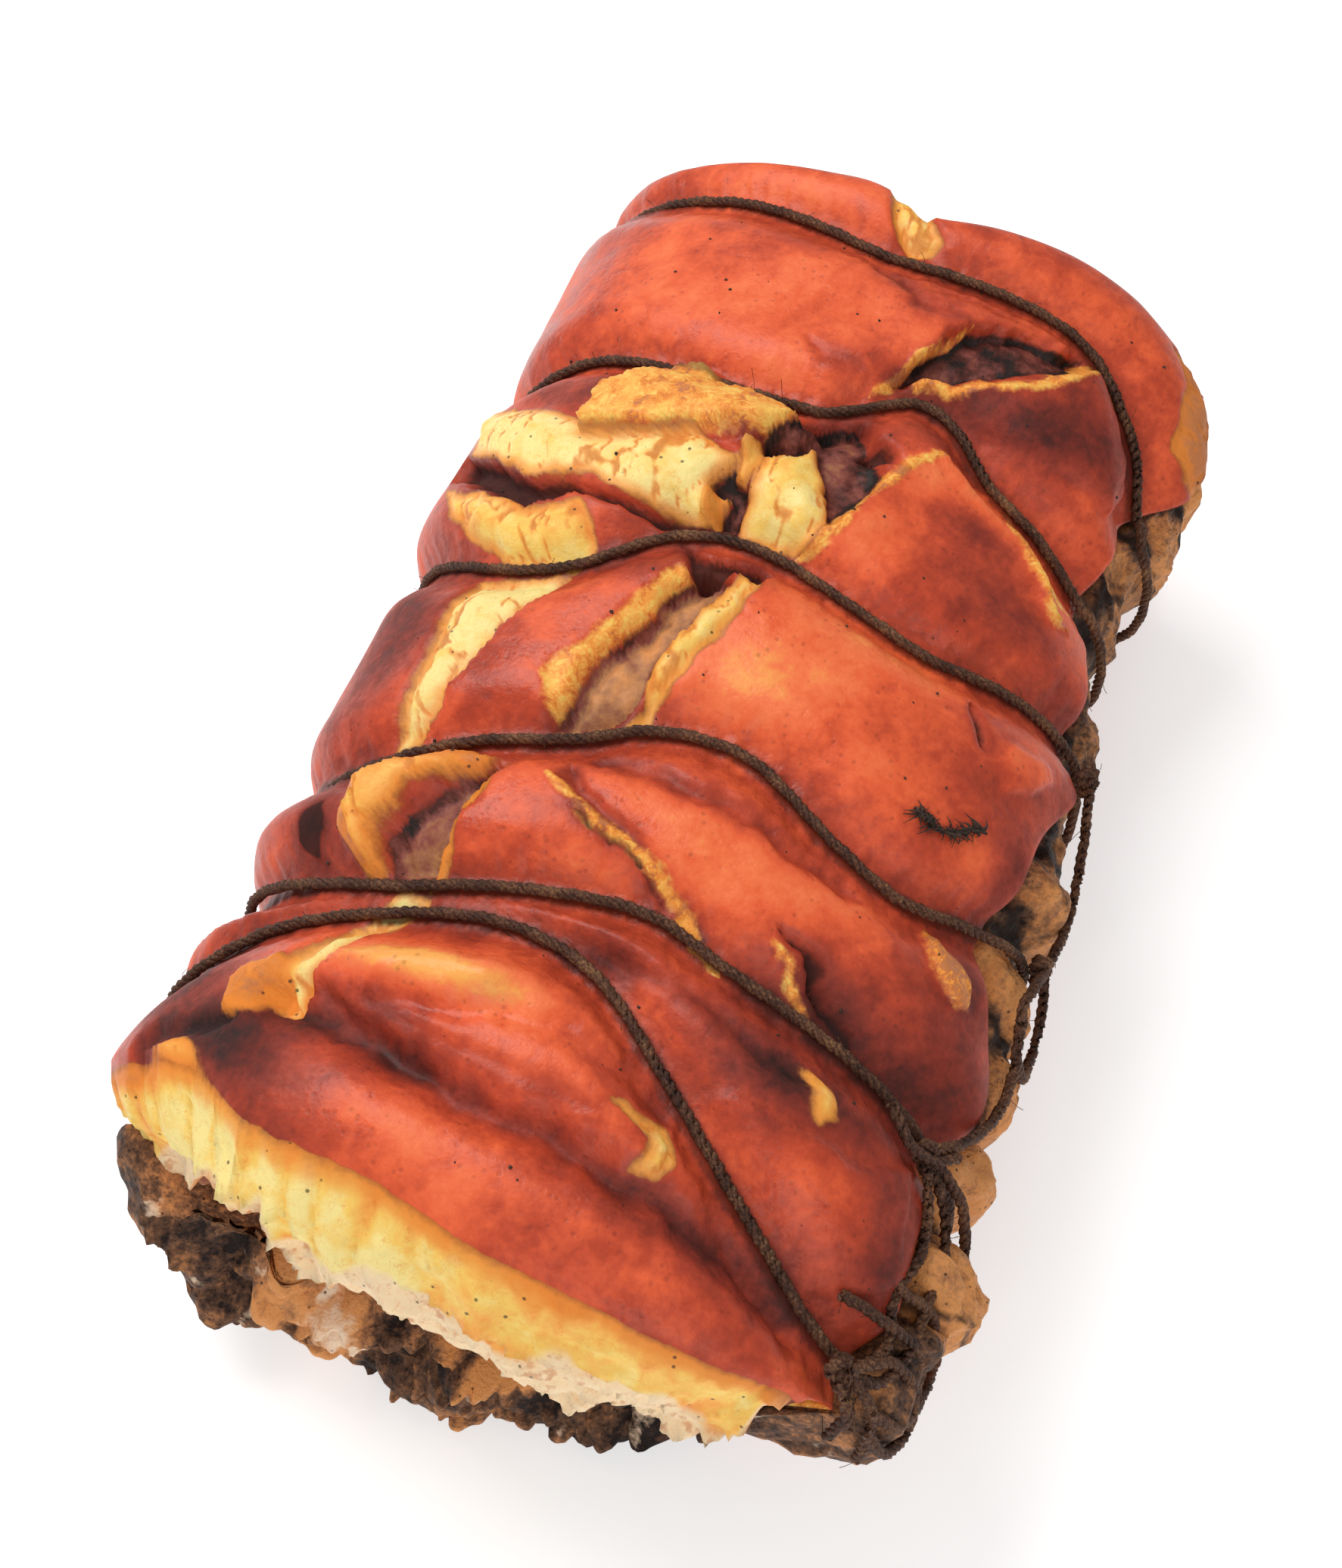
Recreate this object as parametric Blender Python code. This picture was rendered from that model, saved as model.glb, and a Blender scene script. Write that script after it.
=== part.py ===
"""Porchetta: a boned pork roast, rolled in its own rind and fat and tied with butcher's twine.

Metres, +Z up. +Y points to the far end of the roll, -Y to the end whose cut shows fat and meat,
and +X to the flank where the rolled rind leaves a seam open.

The roll is laid out in a station y along its length and an angle t round it: 0 is straight up,
90 is the open flank and 180 is the side it rests on.
"""

import math

import bmesh
import bpy
from mathutils import Vector

MM = 0.001

# The roll's outer form, in millimetres.
HALF_WIDTH = 100.0
CENTRE_Z = 50.0
RISE = 64.0
FALL = 53.0
SQUARENESS = 2.25

# The hollow that the meat fills.
HOLLOW_X = 2.0
HOLLOW_Z = 33.0
HOLLOW_HALF_WIDTH = 74.0
HOLLOW_RISE = 24.0
HOLLOW_FALL = 20.0
HOLLOW_ROWS = 6
FIT_GAP = 1.0

# The seam that stays open along the flank, as angles.
SEAM_TOP = 72.0
SEAM_BOTTOM = 112.0
SEAM_GAP = 2.4

# The ends of the meat and where its near face stands, as pairs of angle and station.
MEAT_NEAR = -147.0
FAR_RECESS = 3.0
FOOT = ((-175, -175), (-150, -172), (-125, -168), (-100, -162), (-84, -154), (-50, -158), (0, -161),
        (50, -163), (66, -167), (78, -170), (90, -167), (105, -163), (128, -162), (150, -167))

# The twine and the grooves that it presses into the roast.
TWINE_RADIUS = 1.9
TWINE_CLEARANCE = 0.5
GROOVE_HALF_WIDTH = 2.7
GROOVE_DEPTH = 6.5
GROOVE_DEPTH_BELOW = 8.6
GROOVE_SOFTNESS = 8.0
BAND_SWELL = 1.2

# The whole is moved by this much to stand centred over the origin.
CENTRE_SHIFT = (-0.0033, 0.0052)

# Where each twine lies: pairs of angle and station.
TWINES = {
    6: ((-175, -131), (-125, -132), (-98, -132), (-80, -131), (-64, -117), (-40, -104), (-15, -98),
        (9, -104), (31, -121), (50, -141), (64, -154), (78, -156), (100, -143), (130, -133)),
    5: ((-175, -112), (-110, -114), (-66, -110), (-51, -98), (-24, -89), (3, -83), (16, -83),
        (30, -88), (54, -95), (74, -103), (100, -108), (140, -111)),
    4: ((-175, -62), (-110, -62), (-66, -59), (-40, -49), (-19, -43), (-6, -36), (8, -33), (22, -35),
        (41, -47), (54, -52), (68, -47), (88, -38), (125, -48)),
    3: ((-175, 14), (-110, 15), (-77, 14), (-54, 6), (-39, 8), (-21, 23), (-7, 27), (9, 25), (30, 18),
        (45, 14), (60, 18), (76, 20), (92, 12), (130, 11)),
    2: ((-175, 75), (-110, 77), (-77, 80), (-56, 85), (-29, 79), (0, 77), (10, 82), (22, 90), (32, 87),
        (44, 75), (57, 69), (72, 62), (100, 62), (140, 70)),
    1: ((-175, 140), (-110, 153), (-77, 156), (-47, 153), (-25, 147), (-2, 140), (20, 139), (43, 136),
        (53, 130), (60, 117), (69, 100), (80, 92), (110, 97), (140, 118)),
}
NEAR_RIM = ((-175, -147), (-125, -145), (-98, -142), (-78, -145), (-56, -147), (-43, -155),
            (-17, -161), (13, -168), (46, -171), (66, -167), (95, -158), (120, -148), (150, -146))
FAR_RIM = ((-175, 163), (-110, 167), (-77, 170), (-52, 168), (-22, 165), (-9, 163), (6, 156), (26, 159),
           (48, 158), (62, 152), (78, 146), (110, 150), (145, 160))
# How much further than the plain form each flank stands out, as pairs of station and millimetres.
LEFT_FLANK = ((-180, 6), (-160, 5), (-138, 0), (-100, -9), (-60, -6), (-20, -2), (40, -1), (100, 0), (180, -1))
RIGHT_FLANK = ((-180, 2), (-150, 2), (-100, 2), (-40, 1), (15, 0), (45, -5), (75, -5), (98, 2), (115, 4),
               (150, 4), (180, 3))
# How far the fat swells out past the rind at the near end, by angle.
COLLAR = ((-175, 2), (-115, 2), (-96, 3), (-82, 12), (-68, 16), (-50, 22), (-30, 20), (0, 14),
          (30, 11), (60, 7), (72, 5), (112, 2), (150, 2))

# Torn and folded places: height in millimetres, softness of the edge and an outline of
# (millimetres round the roll from its top, station) points.
PLACES = {
    "notch at the far rim": (-3.0, 4.0, ((-8, 168), (-4, 154), (11, 150), (21, 147), (8, 140), (-2, 148),
                                         (-12, 168))),
    "charred gash": (-7.0, 5.0, ((22, 108), (31, 103), (41, 104), (57, 114), (67, 127), (55, 128),
                                 (42, 124), (28, 119))),
    "lifted flap": (2.6, 5.0, ((18, 90), (27, 97), (44, 101), (60, 116), (70, 129), (78, 119), (93, 100),
                               (90, 86), (60, 89), (30, 86))),
    "curled strip": (3.2, 5.0, ((-50, 62), (-35, 78), (-15, 69), (-2, 64), (-8, 57), (-25, 52), (-52, 51))),
    "bare fat": (-1.5, 5.0, ((-109, 71), (-85, 63), (-57, 53), (-27, 53), (-12, 49), (-15, 31), (-29, 28),
                             (-57, 34), (-79, 38), (-98, 50))),
    "crevice under the bare fat": (-6.0, 5.0, ((-105, 54), (-82, 39), (-60, 35), (-35, 31), (-14, 32),
                                               (-14, 26), (-35, 24), (-62, 28), (-84, 32), (-106, 43))),
    "bare meat": (-6.0, 5.0, ((-16, 38), (-8, 58), (6, 74), (15, 78), (24, 58), (20, 45), (15, 32),
                              (0, 29), (-15, 30))),
    "fat lobe": (4.0, 5.0, ((-6, 50), (5, 60), (12, 48), (15, 36), (7, 30), (-4, 30))),
    "fat stripe": (-3.0, 4.0, ((-78, 2), (-63, 1), (-48, 4), (-54, -18), (-64, -45), (-75, -55),
                               (-73, -23))),
    "torn gap": (-7.5, 5.0, ((-9, 15), (-1, 12), (-8, -7), (-11, -22), (-15, -38), (-31, -43), (-30, -27),
                             (-23, -11), (-15, 3))),
    "lower torn gap": (-6.0, 5.0, ((-44, -56), (-34, -52), (-36, -60), (-41, -74), (-45, -90), (-58, -91),
                                   (-57, -77), (-50, -67))),
    "lapped edge": (-3.0, 4.0, ((-25, -57), (-8, -65), (10, -74), (30, -84), (32, -88), (9, -79),
                                (-10, -71), (-28, -61))),
    "open crack": (-3.0, 4.0, ((42, -73), (53, -78), (74, -93), (70, -96), (57, -88), (42, -78))),
    "near fat stripe": (-3.0, 4.0, ((-50, -107), (-57, -109), (-62, -125), (-60, -131), (-53, -129),
                                    (-52, -117))),
    "deep fold": (-8.0, 7.0, ((-66, -127), (-40, -132), (-9, -139), (20, -142), (53, -147), (88, -155),
                              (88, -159), (50, -152), (18, -147), (-12, -144), (-42, -137), (-66, -132))),
    "pale gash": (-2.5, 4.0, ((23, -127), (35, -130), (44, -138), (39, -143), (30, -134))),
    "near plate": (2.0, 5.0, ((40, -124), (57, -119), (90, -114), (96, -136), (86, -145), (66, -144),
                              (45, -129))),
    "bright swelling": (4.0, 10.0, ((-48, -116), (-30, -110), (-3, -110), (-10, -118), (-36, -122))),
}

# The run of twine that laces loops three to six together: (angle, station, height) points.
LACING = ((80, 18, 1.2), (88, 4, 3.0), (93, -14, 3.2), (90, -28, 2.8), (87, -39, 1.6), (83, -54, 3.0),
          (85, -70, 3.0), (80, -88, 3.0), (75, -103, 1.8), (81, -114, 3.0), (88, -126, 3.0),
          (88, -140, 3.0), (81, -156, 1.8), (75, -163, 2.0), (69, -173, 0.0), (66, -180, -4.0))
KNOTS = {
    "twine_loop_1": ((74, 96),),
    "twine_loop_2": (),
    "twine_laced": ((80, 18), (88, -38), (75, -103), (80, -157)),
}
KNOT_SIZE = (3.6, 5.2, 3.6)

WRAP_STEP_SEEN = 9.0
WRAP_STEP_UNSEEN = 17.0


def clear_scene():
    for item in list(bpy.data.objects):
        bpy.data.objects.remove(item, do_unlink=True)
    for item in list(bpy.data.meshes):
        bpy.data.meshes.remove(item)


def material(name, colour, roughness):
    made = bpy.data.materials.new(name)
    made.use_nodes = True
    shader = made.node_tree.nodes["Principled BSDF"]
    shader.inputs["Base Color"].default_value = (*colour, 1.0)
    shader.inputs["Roughness"].default_value = roughness
    return made


def wrapped(angle):
    return (angle + 180.0) % 360.0 - 180.0


def along(path, angle, closed=True):
    """Station at an angle, a smooth curve through the path's points."""
    angle = wrapped(angle)
    points = sorted(path)
    if closed:
        first = points[0]
        last = points[-1]
        points = [(last[0] - 360.0, last[1])] + points + [(first[0] + 360.0, first[1])]
        points = [(points[-3][0] - 360.0, points[-3][1])] + points + [(points[2][0] + 360.0, points[2][1])]
    for i in range(len(points) - 1):
        if points[i][0] <= angle <= points[i + 1][0]:
            break
    x0, y0 = points[i]
    x1, y1 = points[i + 1]
    left = points[max(i - 1, 0)]
    right = points[min(i + 2, len(points) - 1)]
    m0 = (y1 - left[1]) / (x1 - left[0])
    m1 = (right[1] - y0) / (right[0] - x0)
    width = x1 - x0
    u = (angle - x0) / width
    a = 2 * u ** 3 - 3 * u ** 2 + 1
    b = u ** 3 - 2 * u ** 2 + u
    c = -2 * u ** 3 + 3 * u ** 2
    d = u ** 3 - u ** 2
    return a * y0 + b * width * m0 + c * y1 + d * width * m1


def reach(angle, half_width, rise, fall, power):
    """Distance from the centre to a rounded outline."""
    t = math.radians(angle)
    up = rise if math.cos(t) >= 0 else fall
    return (abs(math.sin(t) / half_width) ** power + abs(math.cos(t) / up) ** power) ** (-1.0 / power)


def outer_reach(angle):
    return reach(angle, HALF_WIDTH, RISE, FALL, SQUARENESS)


def girth_table():
    """Millimetres round the roll, measured from its top, at each whole degree."""
    table = {0: 0.0}
    for side in (1, -1):
        total = 0.0
        before = (0.0, outer_reach(0))
        for degree in range(1, 181):
            r = outer_reach(side * degree)
            t = math.radians(side * degree)
            here = (r * math.sin(t), r * math.cos(t))
            total += math.dist(before, here)
            before = here
            table[side * degree] = side * total
    return table


GIRTH = girth_table()


def between(pairs, y):
    """Straight interpolation through pairs of station and value."""
    for (y0, v0), (y1, v1) in zip(pairs, pairs[1:]):
        if y <= y1:
            return v0 + (v1 - v0) * max(0.0, (y - y0) / (y1 - y0))
    return pairs[-1][1]


def form_reach(angle, y):
    """The outer form with its flanks, which stand out more or less along the roll."""
    side = math.sin(math.radians(angle))
    flank = between(LEFT_FLANK if side < 0 else RIGHT_FLANK, y)
    return outer_reach(angle) + flank * side * side


def girth(angle):
    angle = wrapped(angle)
    low = max(-180, min(179, math.floor(angle)))
    part = angle - low
    return GIRTH[low] * (1 - part) + GIRTH[low + 1] * part


def angle_at(q):
    low = -180.0
    high = 180.0
    for _ in range(30):
        middle = (low + high) / 2
        if girth(middle) < q:
            low = middle
        else:
            high = middle
    return (low + high) / 2


def inside_by(outline, q, y):
    """Distance from a point to an outline, positive inside it."""
    nearest = 1e9
    crossings = 0
    for (q0, y0), (q1, y1) in zip(outline, outline[1:] + outline[:1]):
        dq = q1 - q0
        dy = y1 - y0
        u = max(0.0, min(1.0, ((q - q0) * dq + (y - y0) * dy) / (dq * dq + dy * dy)))
        nearest = min(nearest, math.hypot(q - q0 - u * dq, y - y0 - u * dy))
        if (y0 > y) != (y1 > y) and q < q0 + (y - y0) * dq / dy:
            crossings += 1
    return nearest if crossings % 2 else -nearest


def eased(u):
    u = max(0.0, min(1.0, u))
    return u * u * (3.0 - 2.0 * u)


def lines_at(angle):
    """Stations of the near rim, twines six to one and the far rim, at one angle."""
    return [along(NEAR_RIM, angle)] + [along(TWINES[k], angle) for k in (6, 5, 4, 3, 2, 1)] + [
        along(FAR_RIM, angle)]


def slant(path, angle):
    """How much wider a line looks along the roll where it runs at a slant."""
    rise = along(path, angle + 2.0) - along(path, angle - 2.0)
    run = GIRTH[90] * 4.0 / 90.0
    return math.hypot(1.0, rise / run)


def from_twine(angle, y):
    """Distance to the nearest twine, across the twine."""
    return min(abs(y - along(path, angle)) / slant(path, angle) for path in TWINES.values())


def groove(angle, y):
    """Depth of the nearest twine's groove."""
    below = eased((abs(wrapped(angle)) - 105.0) / 35.0)
    depth = GROOVE_DEPTH + (GROOVE_DEPTH_BELOW - GROOVE_DEPTH) * below
    away = max(0.0, from_twine(angle, y) - GROOVE_HALF_WIDTH)
    return depth * math.exp(-((away / GROOVE_SOFTNESS) ** 2))


def places(angle, y):
    """Height of the torn and folded places at a point."""
    if abs(wrapped(angle)) > 90.0:
        return 0.0
    q = girth(angle)
    height = 0.0
    for rise, softness, outline in PLACES.values():
        height += rise * eased(inside_by(outline, q, y) / softness + 0.5)
    return height


def rim_rounding(angle, y):
    """How much the wrap draws in towards its two rims."""
    near = max(0.0, 1.0 - (y - along(NEAR_RIM, angle)) / 14.0)
    far = max(0.0, 1.0 - (along(FAR_RIM, angle) - y) / 16.0)
    return 3.0 * near * near + 3.0 * far * far


def surface_offset(angle, y):
    swell = BAND_SWELL + 0.8 * math.sin(y / 21.0 + 1.4 * math.sin(math.radians(2 * angle)))
    on_twine = eased((from_twine(angle, y) - GROOVE_HALF_WIDTH) / 6.0)
    return swell * on_twine - groove(angle, y) - rim_rounding(angle, y) + on_twine * places(angle, y)


def seam_wave(y):
    """How the lips of the seam wander along the roll, in degrees."""
    calm = eased((145.0 - abs(y)) / 20.0)
    return calm * (3.2 * math.sin(y / 17.0 + 0.6) + 1.4 * math.sin(y / 8.0))


def beside_seam(angle, y):
    """Moves the columns nearest the seam with its lips."""
    top = eased(1.0 - (SEAM_TOP - wrapped(angle)) / 22.0) if wrapped(angle) < 92.0 else 0.0
    bottom = eased(1.0 - (wrapped(angle) - SEAM_BOTTOM) / 22.0) if wrapped(angle) >= 92.0 else 0.0
    return angle + seam_wave(y) * (top + 0.7 * bottom)


def outer_point(angle, y, extra=0.0):
    moved = beside_seam(angle, y)
    r = form_reach(moved, y) + surface_offset(angle, y) + extra
    t = math.radians(moved)
    return Vector((r * math.sin(t), y, max(0.0, CENTRE_Z + r * math.cos(t))))


def hollow_point(angle, y, gap=0.0):
    r = reach(angle, HOLLOW_HALF_WIDTH - gap, HOLLOW_RISE - gap, HOLLOW_FALL - gap, 2.0)
    t = math.radians(angle)
    return Vector((HOLLOW_X + r * math.sin(t), y, HOLLOW_Z + r * math.cos(t)))


def band_rows(angle):
    """Stations of the mesh rows at one angle, near rim to far rim."""
    stops = lines_at(angle)
    widths = [0.0] + [GROOVE_HALF_WIDTH * slant(TWINES[k], angle) for k in (6, 5, 4, 3, 2, 1)] + [0.0]
    counts = (6, 2, 5, 6, 4, 5, 3)
    rows = []
    for i, count in enumerate(counts):
        start = stops[i] + widths[i]
        end = stops[i + 1] - widths[i + 1]
        steps = count + 1
        rows += [start + (end - start) * k / steps for k in range(steps + 1)]
    return rows


def wrap_angles():
    """Angles of the mesh columns, from the seam's top over the roll and under it."""
    angles = []
    q = girth(SEAM_TOP)
    stop = girth(-84)
    count = round((q - stop) / WRAP_STEP_SEEN)
    angles += [angle_at(q + (stop - q) * k / count) for k in range(count)]
    start = stop
    full = 2.0 * GIRTH[180]
    end = girth(SEAM_BOTTOM) - full
    count = round((start - end) / WRAP_STEP_UNSEEN)
    for k in range(count + 1):
        q = start + (end - start) * k / count
        angles.append(angle_at(q) if q > -full / 2 else angle_at(q + full) - 360.0)
    return angles


def near_collar(angle):
    """The fat that swells out past the near rim: points from the rind to the hollow."""
    rim = along(NEAR_RIM, angle)
    swell = along(COLLAR, angle)
    outer = outer_point(angle, rim)
    inner = hollow_point(angle, rim)
    points = []
    for s, out in ((0.93, 0.42), (0.80, 0.82), (0.62, 1.0), (0.40, 0.96), (0.20, 0.74), (0.06, 0.38)):
        lump = 1.0 + 0.16 * math.sin(math.radians(angle) * 9.0 + s * 7.0)
        point = inner.lerp(outer, s)
        point.y = rim - swell * out * lump
        points.append(point)
    return points


def far_face(angle):
    rim = along(FAR_RIM, angle)
    outer = outer_point(angle, rim)
    inner = hollow_point(angle, rim)
    points = []
    for s, out in ((0.80, 3.5), (0.50, 5.0), (0.18, 3.5)):
        point = inner.lerp(outer, s)
        point.y = rim + out + 0.8 * math.sin(math.radians(angle) * 6.0)
        points.append(point)
    return points


def finish(name, bm, surface):
    bmesh.ops.recalc_face_normals(bm, faces=bm.faces)
    shift = Vector((CENTRE_SHIFT[0], CENTRE_SHIFT[1], 0.0))
    for vertex in bm.verts:
        vertex.co = vertex.co * MM + shift
    mesh = bpy.data.meshes.new(name)
    bm.to_mesh(mesh)
    bm.free()
    mesh.materials.append(surface)
    made = bpy.data.objects.new(name, mesh)
    bpy.context.scene.collection.objects.link(made)
    return made


def join_chains(bm, first, second):
    """Fills between two rows of points, both sorted by station, that need not match in number."""
    i = 0
    k = 0
    while i < len(first) - 1 or k < len(second) - 1:
        step_first = k == len(second) - 1
        if i < len(first) - 1 and k < len(second) - 1:
            step_first = first[i + 1].co.y < second[k + 1].co.y
        if step_first:
            bm.faces.new((first[i], first[i + 1], second[k]))
            i += 1
        else:
            bm.faces.new((first[i], second[k], second[k + 1]))
            k += 1


def build_wrap(surface):
    """The rind with its fat, open along the seam."""
    bm = bmesh.new()
    columns = []
    angles = wrap_angles()
    for number, angle in enumerate(angles):
        rows = band_rows(angle)
        outer = [outer_point(angle, y) for y in rows]
        low = rows[0] + 1.0
        high = rows[-1] - 1.0
        if number in (0, len(angles) - 1):
            stations = [min(max(y, low), high) for y in rows]
            stations = [low] + [y for y in stations if low < y < high] + [high]
        else:
            stations = [low + (high - low) * k / (HOLLOW_ROWS - 1) for k in range(HOLLOW_ROWS)]
        inner = [hollow_point(angle, y) for y in stations]
        column = {
            "near": [bm.verts.new(point) for point in near_collar(angle)],
            "outer": [bm.verts.new(point) for point in outer],
            "far": [bm.verts.new(point) for point in far_face(angle)],
            "inner": [bm.verts.new(point) for point in inner],
        }
        columns.append(column)
    for left, right in zip(columns, columns[1:]):
        join_chains(bm, left["inner"], right["inner"])
        rim_left = [left["inner"][0]] + left["near"][::-1] + left["outer"] + left["far"] + [left["inner"][-1]]
        rim_right = [right["inner"][0]] + right["near"][::-1] + right["outer"] + right["far"]
        rim_right.append(right["inner"][-1])
        for k in range(len(rim_left) - 1):
            bm.faces.new((rim_left[k], rim_left[k + 1], rim_right[k + 1], rim_right[k]))
    for column in (columns[0], columns[-1]):
        inner = column["inner"]
        join_chains(bm, column["outer"], inner)
        near = [inner[0]] + column["near"][::-1] + [column["outer"][0]]
        for k in range(1, len(near) - 1):
            bm.faces.new((near[0], near[k], near[k + 1]))
        far = [inner[-1]] + column["far"][::-1] + [column["outer"][-1]]
        for k in range(1, len(far) - 1):
            bm.faces.new((far[0], far[k], far[k + 1]))
    bmesh.ops.triangulate(bm, faces=bm.faces)
    return finish("rind_and_fat", bm, surface)


def lobe_share(across, y):
    """How far the seam's lumps stand out between the hollow (0) and the outer form (1)."""
    shoulder = 1.0 - abs(2.0 * across - 1.0) ** 3
    lumps = 0.5 + 0.5 * math.sin(y / 8.5 + 5.0 * across)
    lumps = 0.6 * lumps + 0.4 * (0.5 + 0.5 * math.sin(y / 4.1 - 3.0 * across))
    cavity = math.exp(-(((y + 80.0) / 10.0) ** 2)) * eased(1.5 - 3.0 * across)
    hollow = math.exp(-(((y - 55.0) / 22.0) ** 2))
    return 0.68 + 0.18 * shoulder + 0.12 * lumps - 0.34 * cavity - 0.10 * hollow


def seam_columns():
    width = SEAM_BOTTOM - SEAM_TOP - 2 * SEAM_GAP
    return [(SEAM_TOP + SEAM_GAP + width * k / 6, k / 6) for k in range(7)]


def seam_lump(angle, across, y):
    wave = seam_wave(y) * (1.0 - 0.3 * across)
    r = form_reach(angle + wave, y) + surface_offset(angle, y)
    t = math.radians(angle + wave)
    outer = Vector((r * math.sin(t), y, CENTRE_Z + r * math.cos(t)))
    inner = hollow_point(angle, y, FIT_GAP)
    return inner.lerp(outer, lobe_share(across, y))


def near_lump(x, z):
    """How far the meat stands out at the near end."""
    wave = 4.5 * math.sin(x / 13.0 + 0.8) + 3.0 * math.sin(x / 6.1 + z / 9.0)
    wave += 2.2 * math.sin(z / 5.0 - x / 17.0)
    return wave * (1.0 - 0.5 * eased(x / 60.0))


def far_station(angle):
    return along(FAR_RIM, angle) - FAR_RECESS


def meat_rows(angle, seam):
    """Stations of the meat's rings at one angle; in the seam they follow the twines' grooves."""
    stops = lines_at(angle)[1:7]
    widths = [GROOVE_HALF_WIDTH * slant(TWINES[k], angle) for k in (6, 5, 4, 3, 2, 1)]
    near = min(MEAT_NEAR, stops[0] - widths[0] - 2.5) if seam else MEAT_NEAR
    rows = [near]
    for i, count in enumerate((1, 3, 4, 4, 3, 3)):
        start = near if i == 0 else stops[i - 1] + widths[i - 1]
        end = stops[i] - widths[i]
        if i:
            rows.append(start)
        rows += [start + (end - start) * k / count for k in range(1, count + 1)]
    start = stops[5] + widths[5]
    rows += [start + (far_station(angle) - 6.0 - start) * k / 3 for k in range(4)]
    return rows


def meat_ring(number, lumps=True, at_far_end=False):
    """One ring of the meat inside the roll; it steps out between the seam's lips."""
    ring = []
    columns = seam_columns()
    for k, (angle, across) in enumerate([columns[0]] + columns + [columns[-1]]):
        y = far_station(angle) if at_far_end else meat_rows(angle, True)[number]
        if lumps and 0 < k < len(columns) + 1:
            ring.append(seam_lump(angle, across, y))
        else:
            ring.append(hollow_point(angle, y, FIT_GAP))
    for angle in reversed(wrap_angles()):
        y = far_station(angle) if at_far_end else meat_rows(angle, False)[number]
        ring.append(hollow_point(angle, y, FIT_GAP))
    return ring


def near_ring(share, depth, spreading):
    """One ring of the meat's near face; low down it spreads out in front of the wrap."""
    ring = []
    settle = eased((share - 0.84) / 0.16)
    for point, flat in zip(meat_ring(0), meat_ring(0, False)):
        point = flat.lerp(point, settle)
        angle = wrapped(math.degrees(math.atan2(point.x - HOLLOW_X, point.z - HOLLOW_Z)))
        spread = eased((-angle - 84.0) / 14.0) if angle < 0.0 else eased((angle - 100.0) / 20.0)
        wide = outer_point(angle, -140.0, -3.0)
        wide.y = point.y
        centre = Vector((HOLLOW_X, point.y, HOLLOW_Z))
        place = centre.lerp(point.lerp(wide, spread * spreading), share)
        place.y = along(FOOT, angle) + depth + near_lump(place.x, place.z) * min(1.0, 3.0 - 3.0 * share)
        ring.append(place)
    return ring


def build_meat(surface):
    """The meat that fills the roll, bulges in the seam and spreads at the near end."""
    bm = bmesh.new()
    far_centre = Vector((HOLLOW_X, 163.0, HOLLOW_Z))
    rings = [[far_centre]]
    for share, bulge in ((0.55, 2.5), (0.9, 2.0)):
        ring = []
        for point in meat_ring(0, False, True):
            place = far_centre.lerp(point, share)
            place.y += bulge + 0.3 * near_lump(place.x, place.z)
            ring.append(place)
        rings.append(ring)
    rings.append(meat_ring(0, False, True))
    for number in range(len(meat_rows(0.0, False)) - 1, -1, -1):
        rings.append(meat_ring(number))
    rings.append(near_ring(1.0, 9.0, 0.0))
    for share, depth in ((1.0, 5.0), (0.97, 0.0), (0.82, -5.0), (0.6, -5.0), (0.35, -3.0)):
        rings.append(near_ring(share, depth, 1.0))
    rings.append([Vector((HOLLOW_X, -168.0, HOLLOW_Z))])
    verts = [[bm.verts.new(point) for point in ring] for ring in rings]
    for ring, following in zip(verts, verts[1:]):
        count = max(len(ring), len(following))
        for k in range(count):
            n = (k + 1) % count
            if len(ring) == 1:
                bm.faces.new((ring[0], following[k], following[n]))
            elif len(following) == 1:
                bm.faces.new((ring[k], ring[n], following[0]))
            else:
                bm.faces.new((ring[k], ring[n], following[n], following[k]))
    bmesh.ops.remove_doubles(bm, verts=bm.verts, dist=0.0005)
    bmesh.ops.triangulate(bm, faces=bm.faces)
    return finish("rolled_meat", bm, surface)


def tube(bm, centres, radius, sides, closed):
    """A round cord through the centres."""
    count = len(centres)
    rings = []
    normal = None
    for k in range(count):
        if closed:
            ahead = centres[(k + 1) % count] - centres[k - 1]
        else:
            ahead = centres[min(k + 1, count - 1)] - centres[max(k - 1, 0)]
        ahead.normalize()
        if closed or normal is None:
            side = ahead.cross(Vector((0.0, 1.0, 0.0)))
            if side.length < 0.4:
                side = ahead.cross(Vector((1.0, 0.0, 0.0)))
        else:
            side = normal - ahead * normal.dot(ahead)
        side.normalize()
        normal = side
        other = ahead.cross(side)
        ring = []
        for s in range(sides):
            a = 2 * math.pi * (s + 0.5) / sides
            ring.append(bm.verts.new(centres[k] + (side * math.cos(a) + other * math.sin(a)) * radius))
        rings.append(ring)
    pairs = list(zip(rings, rings[1:]))
    if closed:
        pairs.append((rings[-1], rings[0]))
    for first, second in pairs:
        for s in range(sides):
            n = (s + 1) % sides
            bm.faces.new((first[s], first[n], second[n], second[s]))
    if not closed:
        bm.faces.new(rings[0])
        bm.faces.new(rings[-1])


def loose(number, angle):
    """How far a loop stands off the roast where it hangs loose on the far flank."""
    amount = {6: 6.0, 5: 5.0}.get(number, 0.0)
    return amount * math.exp(-(((wrapped(angle) + 80.0) / 16.0) ** 2))


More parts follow.
